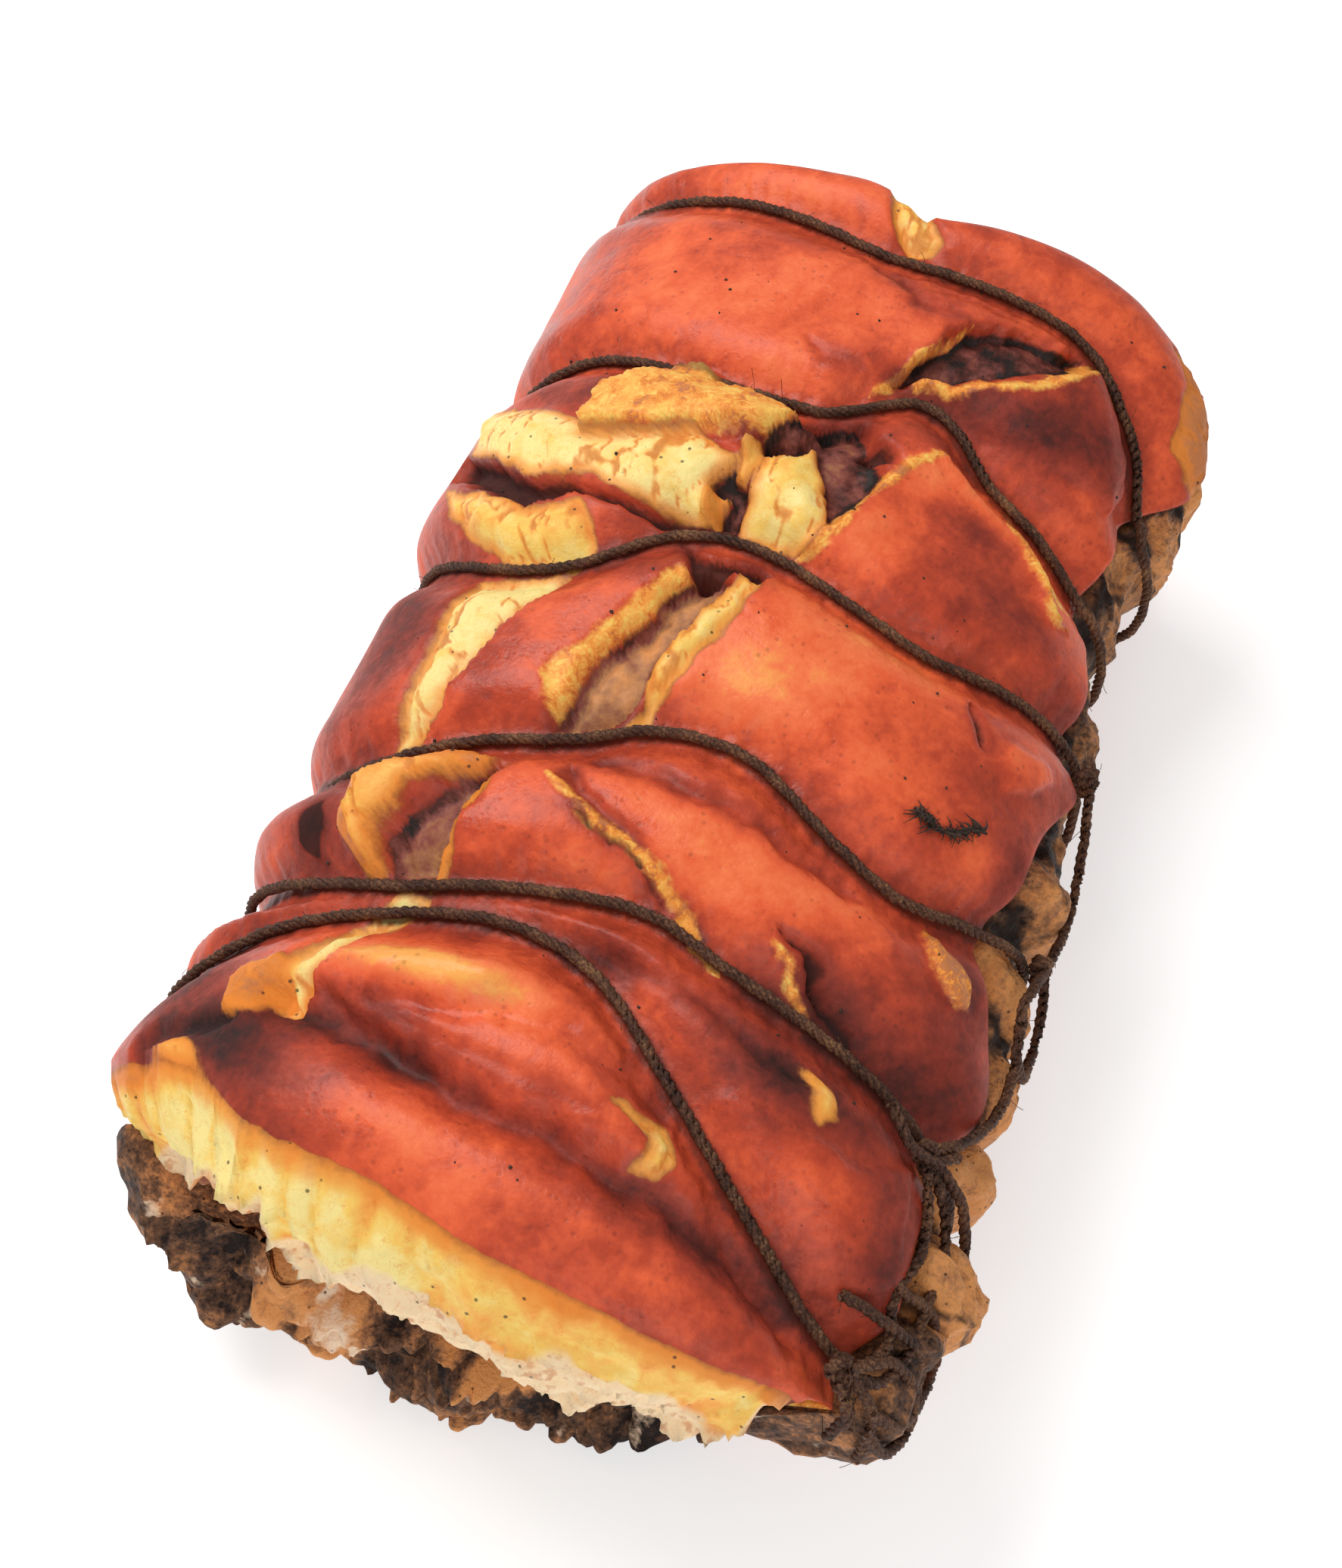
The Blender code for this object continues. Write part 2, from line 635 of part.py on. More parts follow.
def loop_centres(number):
    angles = wrap_angles()
    step = (SEAM_BOTTOM - SEAM_TOP) / 4
    angles += [SEAM_BOTTOM - 360.0 - step * k for k in range(1, 4)]
    centres = []
    for angle in angles:
        y = along(TWINES[number], angle)
        moved = beside_seam(angle, y)
        below = eased((abs(wrapped(angle)) - 100.0) / 15.0)
        r = form_reach(moved, y) + surface_offset(angle, y) + TWINE_RADIUS + TWINE_CLEARANCE + 0.5 * below
        r += loose(number, angle)
        if SEAM_TOP - 3 < angle or angle < SEAM_BOTTOM - 357:
            r += 1.0
        t = math.radians(moved)
        centres.append(Vector((r * math.sin(t), y, CENTRE_Z + r * math.cos(t))))
    return centres


def knot(bm, angle, y):
    r = form_reach(angle, y) - 1.2
    t = math.radians(angle)
    place = Vector((r * math.sin(t), y, CENTRE_Z + r * math.cos(t)))
    made = bmesh.ops.create_icosphere(bm, subdivisions=2, radius=1.0)
    for vertex in made["verts"]:
        co = vertex.co
        bump = 1.0 + 0.18 * math.sin(4.0 * co.x + 5.0 * co.y)
        vertex.co = place + Vector((co.x * KNOT_SIZE[0], co.y * KNOT_SIZE[1], co.z * KNOT_SIZE[2])) * bump


def smooth_path(points, steps):
    path = []
    for i in range(len(points) - 1):
        p0 = points[max(i - 1, 0)]
        p1 = points[i]
        p2 = points[i + 1]
        p3 = points[min(i + 2, len(points) - 1)]
        for k in range(steps):
            u = k / steps
            path.append(0.5 * ((2 * p1) + (p2 - p0) * u + (2 * p0 - 5 * p1 + 4 * p2 - p3) * u ** 2
                               + (3 * p1 - p0 - 3 * p2 + p3) * u ** 3))
    path.append(points[-1])
    return path


def build_twine(name, numbers, laced, surface):
    """Loops, knots and lacing as one joined cord."""
    parts = []
    for number in numbers:
        bm = bmesh.new()
        tube(bm, loop_centres(number), TWINE_RADIUS, 6, True)
        parts.append(bm)
    for angle, y in KNOTS[name]:
        bm = bmesh.new()
        knot(bm, angle, y)
        parts.append(bm)
    if laced:
        points = []
        for angle, y, height in LACING:
            r = form_reach(angle, y) + height
            t = math.radians(angle)
            points.append(Vector((r * math.sin(t), y, CENTRE_Z + r * math.cos(t))))
        bm = bmesh.new()
        tube(bm, smooth_path(points, 3), TWINE_RADIUS - 0.13, 6, False)
        parts.append(bm)
    made = finish(name, parts[0], surface)
    for bm in parts[1:]:
        other = finish(name + "_cutter", bm, surface)
        other.hide_render = True
        other.display_type = "WIRE"
        change = made.modifiers.new("join", "BOOLEAN")
        change.operation = "UNION"
        change.solver = "EXACT"
        change.object = other
        bpy.context.view_layer.objects.active = made
        with bpy.context.temp_override(object=made, active_object=made):
            bpy.ops.object.modifier_apply(modifier=change.name)
        bpy.data.objects.remove(other, do_unlink=True)
    return made


def main():
    clear_scene()
    rind = material("browned_rind", (0.42, 0.10, 0.03), 0.35)
    meat = material("roasted_meat", (0.24, 0.11, 0.05), 0.6)
    twine = material("charred_twine", (0.06, 0.035, 0.025), 0.9)
    build_wrap(rind)
    build_meat(meat)
    build_twine("twine_loop_1", (1,), False, twine)
    build_twine("twine_loop_2", (2,), False, twine)
    build_twine("twine_laced", (3, 4, 5, 6), True, twine)


main()
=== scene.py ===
"""Looks of a tied porchetta: rind, fat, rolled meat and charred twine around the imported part.

Lengths in this file are millimetres in the roast's own layout unless a name says otherwise: y is the
station along the roll, q the way round its outside measured from the top line, and an angle of 0
degrees is straight up, 90 the flank where the seam stays open and 180 the side it rests on.
"""
import sys
import logging
import math
from collections.abc import Sequence
from dataclasses import dataclass, field
from enum import Enum

import bmesh
import bpy
import numpy as np
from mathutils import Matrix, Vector


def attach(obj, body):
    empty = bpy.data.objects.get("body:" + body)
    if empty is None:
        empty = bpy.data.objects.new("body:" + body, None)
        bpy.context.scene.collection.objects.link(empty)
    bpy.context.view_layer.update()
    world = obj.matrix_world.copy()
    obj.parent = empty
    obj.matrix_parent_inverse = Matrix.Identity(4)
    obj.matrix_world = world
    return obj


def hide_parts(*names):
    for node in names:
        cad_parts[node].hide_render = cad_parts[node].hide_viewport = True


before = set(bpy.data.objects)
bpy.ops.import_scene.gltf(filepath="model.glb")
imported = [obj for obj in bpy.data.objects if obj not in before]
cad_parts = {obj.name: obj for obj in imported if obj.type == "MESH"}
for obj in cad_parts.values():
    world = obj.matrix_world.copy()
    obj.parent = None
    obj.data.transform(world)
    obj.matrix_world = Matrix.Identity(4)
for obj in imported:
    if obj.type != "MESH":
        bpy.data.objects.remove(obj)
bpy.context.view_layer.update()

LOG = logging.getLogger("porchetta")
MM = 0.001
SHIFT_MM = np.array((-3.3, 5.2, 0.0))
SEED = 11
Pairs = Sequence[tuple[float, float]]
Array = np.ndarray


class Flesh(Enum):
    """What shows at a place on the outside of the roast."""

    RIND = "rind"
    FAT = "fat"
    MEAT = "meat"
    GOLD = "gold"
    # Charring, and also the black of holes, cracks and crevices, which is painted shade.
    CHAR = "char"


# Camera


@dataclass(frozen=True)
class Viewpoint:
    """The place that the roast is photographed from."""

    azimuth: float = 21.0
    elevation: float = 57.0
    distance: float = 0.573
    target: tuple[float, float, float] = (-0.0113, -0.0068, 0.05)
    sensor_height: float = 36.0
    image_height_px: float = 2072.0
    focal_px: float = 2808.0

    def place(self) -> bpy.types.Object:
        """Adds the camera.

        Returns:
            The camera object, which is also the scene's camera.
        """
        turn = math.radians(self.azimuth)
        lift = math.radians(self.elevation)
        back = Vector((math.sin(turn) * math.cos(lift), -math.cos(turn) * math.cos(lift), math.sin(lift)))
        lens = bpy.data.cameras.new("camera")
        lens.sensor_fit = "VERTICAL"
        lens.sensor_height = self.sensor_height
        lens.lens = self.focal_px / self.image_height_px * self.sensor_height
        lens.clip_start = 0.01
        camera = bpy.data.objects.new("camera", lens)
        camera.location = Vector(self.target) + back * self.distance
        camera.rotation_euler = back.to_track_quat("Z", "Y").to_euler()
        bpy.context.scene.collection.objects.link(camera)
        bpy.context.scene.camera = camera
        return camera


# Numbers over the surface


def eased(u: Array) -> Array:
    """Smooth step from 0 to 1."""
    u = np.clip(u, 0.0, 1.0)
    return u * u * (3.0 - 2.0 * u)


def bell(u: Array) -> Array:
    """A bump of height 1 at 0 that fades out by 2."""
    return np.exp(-u * u)


def through(pairs: Pairs, at: Array) -> Array:
    """Straight interpolation through pairs of place and value."""
    table = np.array(sorted(pairs), float)
    return np.interp(at, table[:, 0], table[:, 1])


def wrapped(angle: Array) -> Array:
    """The same direction between -180 and 180 degrees."""
    return (np.asarray(angle, float) + 180.0) % 360.0 - 180.0


class Grain:
    """Smooth random numbers over space, the same at every run."""

    def __init__(self, seed: int) -> None:
        """Draws the lattice of gradients.

        Args:
            seed: Which of the endless random surfaces this is.
        """
        random = np.random.default_rng(seed)
        self.order = random.permutation(256)
        turns = random.normal(size=(256, 3))
        self.slopes = turns / np.linalg.norm(turns, axis=1, keepdims=True)

    def plain(self, points: Array) -> Array:
        """One octave, about -0.7 to 0.7.

        Args:
            points: Rows of x, y, z in units of the wavelength.

        Returns:
            One number for each row.
        """
        cell = np.floor(points).astype(int)
        part = points - cell
        fade = part ** 3 * (part * (part * 6.0 - 15.0) + 10.0)
        total = np.zeros(len(points))
        for corner in range(8):
            step = np.array(((corner >> 2) & 1, (corner >> 1) & 1, corner & 1))
            at = (cell + step) & 255
            pick = self.order[(self.order[(self.order[at[:, 0]] + at[:, 1]) & 255] + at[:, 2]) & 255]
            share = np.prod(np.where(step, fade, 1.0 - fade), axis=1)
            total += share * np.einsum("ij,ij->i", self.slopes[pick], part - step)
        return total

    def rough(self, points: Array, size: float, octaves: int = 3) -> Array:
        """Several octaves together.

        Args:
            points: Rows of x, y, z in millimetres.
            size: The longest wavelength in millimetres.
            octaves: How many, each half the size and half the height of the one before.

        Returns:
            One number for each row, about -1 to 1.
        """
        total = np.zeros(len(points))
        for k in range(octaves):
            total += self.plain(points / size * 2 ** k + 7.3 * k) * 0.5 ** k
        return total * 1.3


# The roll's form, as the part has it


@dataclass(frozen=True)
class RollForm:
    """The outer form of the roll with its ties, in the layout of station and angle."""

    half_width: float = 100.0
    centre_z: float = 50.0
    rise: float = 64.0
    fall: float = 53.0
    squareness: float = 2.25
    hollow_x: float = 2.0
    hollow_z: float = 33.0
    hollow: tuple[float, float, float] = (74.0, 24.0, 20.0)
    seam_top: float = 72.0
    seam_bottom: float = 112.0
    seam_gap: float = 2.4
    groove_half_width: float = 2.7
    groove_depth: float = 6.5
    groove_depth_below: float = 8.6
    groove_softness: float = 8.0
    swell: float = 1.2
    twines: dict[int, Pairs] = field(default_factory=lambda: {
        6: ((-175, -131), (-125, -131), (-98, -129), (-80, -124), (-62, -107), (-43, -100), (-15, -96),
            (9, -102), (31, -121), (50, -141), (64, -154), (78, -156), (100, -143), (130, -133)),
        5: ((-175, -112), (-110, -104), (-78, -94), (-60, -93), (-42, -92), (-25, -88), (3, -83), (16, -83),
            (30, -88), (54, -95), (74, -103), (100, -108), (140, -111)),
        4: ((-175, -62), (-110, -62), (-66, -59), (-40, -49), (-19, -43), (-6, -36), (8, -33), (22, -35),
            (41, -47), (54, -52), (68, -47), (88, -38), (125, -48)),
        3: ((-175, 14), (-110, 15), (-77, 14), (-54, 6), (-39, 8), (-21, 23), (-7, 27), (9, 25), (30, 18),
            (45, 14), (60, 18), (76, 20), (92, 12), (130, 11)),
        2: ((-175, 75), (-110, 77), (-77, 80), (-56, 85), (-29, 79), (0, 77), (10, 82), (22, 90), (32, 87),
            (44, 75), (57, 69), (72, 62), (100, 62), (140, 70)),
        1: ((-175, 140), (-110, 153), (-77, 156), (-47, 153), (-25, 147), (-2, 140), (20, 139), (43, 136),
            (53, 130), (60, 117), (69, 100), (80, 92), (110, 97), (140, 118)),
    })
    near_rim: Pairs = ((-175, -147), (-125, -145), (-98, -142), (-78, -145), (-56, -147), (-43, -155),
                       (-17, -161), (13, -168), (46, -171), (66, -167), (95, -158), (120, -148), (150, -146))
    far_rim: Pairs = ((-175, 163), (-110, 167), (-77, 170), (-52, 168), (-22, 165), (-9, 163), (6, 156),
                      (26, 159), (48, 158), (62, 152), (78, 146), (110, 150), (145, 160))
    left_flank: Pairs = ((-180, 6), (-160, 5), (-138, 0), (-100, -9), (-60, -6), (-20, -2), (40, -1),
                         (100, 0), (180, -1))
    right_flank: Pairs = ((-180, 2), (-150, 2), (-100, 2), (-40, 1), (15, 0), (45, -5), (75, -5), (98, 2),
                          (115, 4), (150, 4), (180, 3))
    collar: Pairs = ((-175, 2), (-115, 2), (-96, 3), (-82, 12), (-68, 16), (-50, 22), (-30, 20), (0, 14),
                     (30, 11), (60, 7), (72, 5), (112, 2), (150, 2))
    foot: Pairs = ((-175, -175), (-150, -172), (-130, -167), (-112, -171), (-98, -168), (-84, -158),
                   (-50, -158), (0, -161), (50, -163), (66, -165), (78, -166), (90, -162), (105, -156),
                   (118, -156), (132, -166), (150, -171))

    def along(self, path: Pairs, angle: Array) -> Array:
        """Station of a line at some angles, on a smooth closed curve through its points.

        Args:
            path: Pairs of angle and station.
            angle: Angles in degrees.

        Returns:
            One station for each angle.
        """
        points = np.array(sorted(path), float)
        turn = np.array((360.0, 0.0))
        points = np.vstack((points[-2:] - turn, points, points[:2] + turn))
        x = points[:, 0]
        y = points[:, 1]
        slope = np.zeros(len(x))
        slope[1:-1] = (y[2:] - y[:-2]) / (x[2:] - x[:-2])
        at = wrapped(angle)
        i = np.clip(np.searchsorted(x, at, side="right") - 1, 1, len(x) - 3)
        width = x[i + 1] - x[i]
        u = (at - x[i]) / width
        start = (2 * u ** 3 - 3 * u ** 2 + 1) * y[i] + (u ** 3 - 2 * u ** 2 + u) * width * slope[i]
        return start + (3 * u ** 2 - 2 * u ** 3) * y[i + 1] + (u ** 3 - u ** 2) * width * slope[i + 1]

    def reach(self, angle: Array, half_width: float, rise: float, fall: float, power: float) -> Array:
        """Distance from the centre to a rounded outline.

        Args:
            angle: Angles in degrees.
            half_width: Half the outline's width.
            rise: How far it goes up from its centre.
            fall: How far it goes down.
            power: 2 for an ellipse, more for a squarer one.

        Returns:
            One distance for each angle.
        """
        t = np.radians(angle)
        up = np.where(np.cos(t) >= 0, rise, fall)
        total = np.abs(np.sin(t) / half_width) ** power + np.abs(np.cos(t) / up) ** power
        return total ** (-1.0 / power)

    def outer_reach(self, angle: Array) -> Array:
        """Distance from the centre to the plain outer form."""
        return self.reach(angle, self.half_width, self.rise, self.fall, self.squareness)

    def girths(self) -> tuple[Array, Array]:
        """Ways round the roll.

        Returns:
            Whole degrees from -180 to 180 and the way round to each from the top.
        """
        degrees = np.arange(-180, 181)
        r = self.outer_reach(degrees)
        t = np.radians(degrees)
        steps = np.hypot(np.diff(r * np.sin(t)), np.diff(r * np.cos(t)))
        total = np.concatenate(((0.0,), np.cumsum(steps)))
        return degrees.astype(float), total - total[180]

    def girth(self, angle: Array) -> Array:
        """Way round the roll from its top to an angle."""
        degrees, total = self.girths()
        return np.interp(wrapped(angle), degrees, total)

    def angle_at(self, q: Array) -> Array:
        """Angle at a way round the roll.

        Args:
            q: Ways round, which may go on past the bottom line.

        Returns:
            Degrees.
        """
        degrees, total = self.girths()
        full = total[-1] - total[0]
        wide = np.concatenate((total[:-1] - full, total, total[1:] + full))
        angles = np.concatenate((degrees[:-1] - 360.0, degrees, degrees[1:] + 360.0))
        return np.interp(q, wide, angles)

    def form_reach(self, angle: Array, y: Array) -> Array:
        """Distance from the centre to the outer form with its flanks.

        Args:
            angle: Angles in degrees.
            y: Stations.

        Returns:
            Millimetres for each point.
        """
        side = np.sin(np.radians(angle))
        flank = np.where(side < 0, through(self.left_flank, y), through(self.right_flank, y))
        return self.outer_reach(angle) + flank * side * side

    def from_twine(self, angle: Array, y: Array, numbers: Sequence[int] = (1, 2, 3, 4, 5, 6)) -> Array:
        """Distance across to the nearest twine.

        Args:
            angle: Angles in degrees.
            y: Stations.
            numbers: The twines to look at.

        Returns:
            Millimetres for each point.
        """
        run = self.girths()[1][270] * 4.0 / 90.0
        nearest = np.full(np.shape(angle), 1e3)
        for number in numbers:
            path = self.twines[number]
            slant = np.hypot(1.0, (self.along(path, angle + 2.0) - self.along(path, angle - 2.0)) / run)
            nearest = np.minimum(nearest, np.abs(y - self.along(path, angle)) / slant)
        return nearest

    def groove(self, angle: Array, away: Array) -> Array:
        """Depth of the groove that a twine presses in.

        Args:
            angle: Angles in degrees.
            away: Distances to the twine.

        Returns:
            Millimetres for each point.
        """
        below = eased((np.abs(wrapped(angle)) - 105.0) / 35.0)
        depth = self.groove_depth + (self.groove_depth_below - self.groove_depth) * below
        return depth * bell(np.maximum(0.0, away - self.groove_half_width) / self.groove_softness)

    def rim_rounding(self, angle: Array, y: Array) -> Array:
        """How much the wrap draws in towards its two rims.

        Args:
            angle: Angles in degrees.
            y: Stations.

        Returns:
            Millimetres for each point.
        """
        near = np.maximum(0.0, 1.0 - (y - self.along(self.near_rim, angle)) / 14.0)
        far = np.maximum(0.0, 1.0 - (self.along(self.far_rim, angle) - y) / 16.0)
        return 3.0 * near * near + 3.0 * far * far

    def plain_offset(self, angle: Array, y: Array, away: Array) -> Array:
        """Height of the tied surface over the form, without its torn places.

        Args:
            angle: Angles in degrees.
            y: Stations.
            away: Distances to the nearest twine.

        Returns:
            Millimetres for each point.
        """
        swell = self.swell + 0.8 * np.sin(y / 21.0 + 1.4 * np.sin(np.radians(2 * angle)))
        on_twine = eased((away - self.groove_half_width) / 6.0)
        return swell * on_twine - self.groove(angle, away) - self.rim_rounding(angle, y)

    def seam_wave(self, y: Array) -> Array:
        """How the lips of the seam wander along the roll, in degrees."""
        calm = eased((145.0 - np.abs(y)) / 20.0)
        return calm * (3.2 * np.sin(y / 17.0 + 0.6) + 1.4 * np.sin(y / 8.0))

    def beside_seam(self, angle: Array, y: Array) -> Array:
        """Angles moved with the seam's lips where they are near it.

        Args:
            angle: Angles in degrees.
            y: Stations.

        Returns:
            Degrees.
        """
        at = wrapped(angle)
        top = np.where(at < 92.0, eased(1.0 - (self.seam_top - at) / 22.0), 0.0)
        bottom = np.where(at >= 92.0, eased(1.0 - (at - self.seam_bottom) / 22.0), 0.0)
        return angle + self.seam_wave(y) * (top + 0.7 * bottom)

    def around(self, angle: Array, y: Array, r: Array) -> Array:
        """Points at some distance from the centre line, for each angle and station."""
        t = np.radians(angle)
        return np.stack((r * np.sin(t), y + 0.0 * r, self.centre_z + r * np.cos(t)), -1)

    def outside(self, angle: Array, y: Array, height: Array) -> Array:
        """Points over the outer form.

        Args:
            angle: Angles in degrees.
            y: Stations.
            height: Height over the form.

        Returns:
            Rows of x, y, z in the layout.
        """
        moved = self.beside_seam(angle, y)
        points = self.around(moved, y, self.form_reach(moved, y) + height)
        points[:, 2] = np.maximum(0.0, points[:, 2])
        return points

    def inside(self, angle: Array, y: Array, gap: float = 0.0) -> Array:
        """Points on the hollow that the meat fills.

        Args:
            angle: Angles in degrees.
            y: Stations.
            gap: How far they are drawn in.

        Returns:
            Rows of x, y, z.
        """
        wide, up, down = self.hollow
        r = self.reach(angle, wide - gap, up - gap, down - gap, 2.0)
        t = np.radians(angle)
        return np.stack((self.hollow_x + r * np.sin(t), y + 0.0 * r, self.hollow_z + r * np.cos(t)), -1)


FORM = RollForm()
GRAIN = Grain(SEED)


# Torn, folded and bare places


def in_reach(line: Array, q: Array, y: Array, reach: float) -> Array:
    """Which points lie within a reach of the box round a line.

    Args:
        line: Its corners.
        q: Ways round the roll.
        y: Stations.
        reach: Millimetres.

    Returns:
        True or False for each point.
    """
    low = line.min(axis=0) - reach
    high = line.max(axis=0) + reach
    return (q > low[0]) & (q < high[0]) & (y > low[1]) & (y < high[1])


def from_stretch(q: Array, y: Array, start: Array, end: Array) -> tuple[Array, Array]:
    """Distance to a straight stretch, and how far along it the nearest spot is.

    Args:
        q: Ways round the roll.
        y: Stations.
        start: Its first corner.
        end: Its second corner.

    Returns:
        Millimetres and a share of the stretch for each point.
    """
    dq, dy = end - start
    u = np.clip(((q - start[0]) * dq + (y - start[1]) * dy) / (dq * dq + dy * dy), 0.0, 1.0)
    return np.hypot(q - start[0] - u * dq, y - start[1] - u * dy), u


@dataclass(frozen=True)
class Place:
    """A patch of the outside with its own flesh and height.

    shade is how fatty bared meat is, or how toasted bared fat. over is set where it lies over the twine.
    """

    flesh: Flesh | None
    rise: float
    softness: float
    outline: Pairs
    tone: float = 0.0
    shade: float = 0.15
    over: bool = False
    cut_off: float = 12.0

    def depth_inside(self, q: Array, y: Array) -> Array:
        """Distance to the outline, positive inside it.

        Args:
            q: Ways round the roll.
            y: Stations.

        Returns:
            Millimetres for each point, cut off some way outside.
        """
        line = np.array(self.outline, float)
        found = np.full(q.shape, -self.cut_off)
        near = in_reach(line, q, y, self.cut_off)
        if not near.any():
            return found
        pq = q[near]
        py = y[near]
        nearest = np.full(pq.shape, np.inf)
        crossed = np.zeros(pq.shape, bool)
        for start, end in zip(line, np.roll(line, -1, axis=0)):
            nearest = np.minimum(nearest, from_stretch(pq, py, start, end)[0])
            (q0, y0), (q1, y1) = start, end
            if y0 != y1:
                crossed ^= ((y0 > py) != (y1 > py)) & (pq < q0 + (py - y0) * (q1 - q0) / (y1 - y0))
        found[near] = np.maximum(np.where(crossed, nearest, -nearest), -self.cut_off)
        return found


@dataclass(frozen=True)
class Line:
    """A ridge, crease or torn edge that follows a path on the outside; a fold's or crease's dark tone is
    painted shade.
    """

    flesh: Flesh | None
    rise: float
    width: float
    path: Pairs
    tone: float = 0.0
    far_off: float = 99.0
    taper: float = 8.0

    def away(self, q: Array, y: Array) -> Array:
        """Distance to the path, tapering away at its two ends.

        Args:
            q: Ways round the roll.
            y: Stations.

        Returns:
            Millimetres for each point.
        """
        line = np.array(self.path, float)
        found = np.full(q.shape, self.far_off)
        near = in_reach(line, q, y, 3.0 * self.width + 4.0)
        if not near.any():
            return found
        lengths = np.hypot(*np.diff(line, axis=0).T)
        starts = np.concatenate(((0.0,), np.cumsum(lengths)))
        total = starts[-1]
        nearest = np.full(int(near.sum()), self.far_off)
        for k, (start, end) in enumerate(zip(line, line[1:])):
            off, u = from_stretch(q[near], y[near], start, end)
            at = starts[k] + u * lengths[k]
            ends = np.minimum(at, total - at) / min(self.taper, 0.4 * total)
            nearest = np.minimum(nearest, off / (1.0 - 0.75 * (1.0 - np.clip(ends, 0.0, 1.0)) ** 2))
        found[near] = nearest
        return found
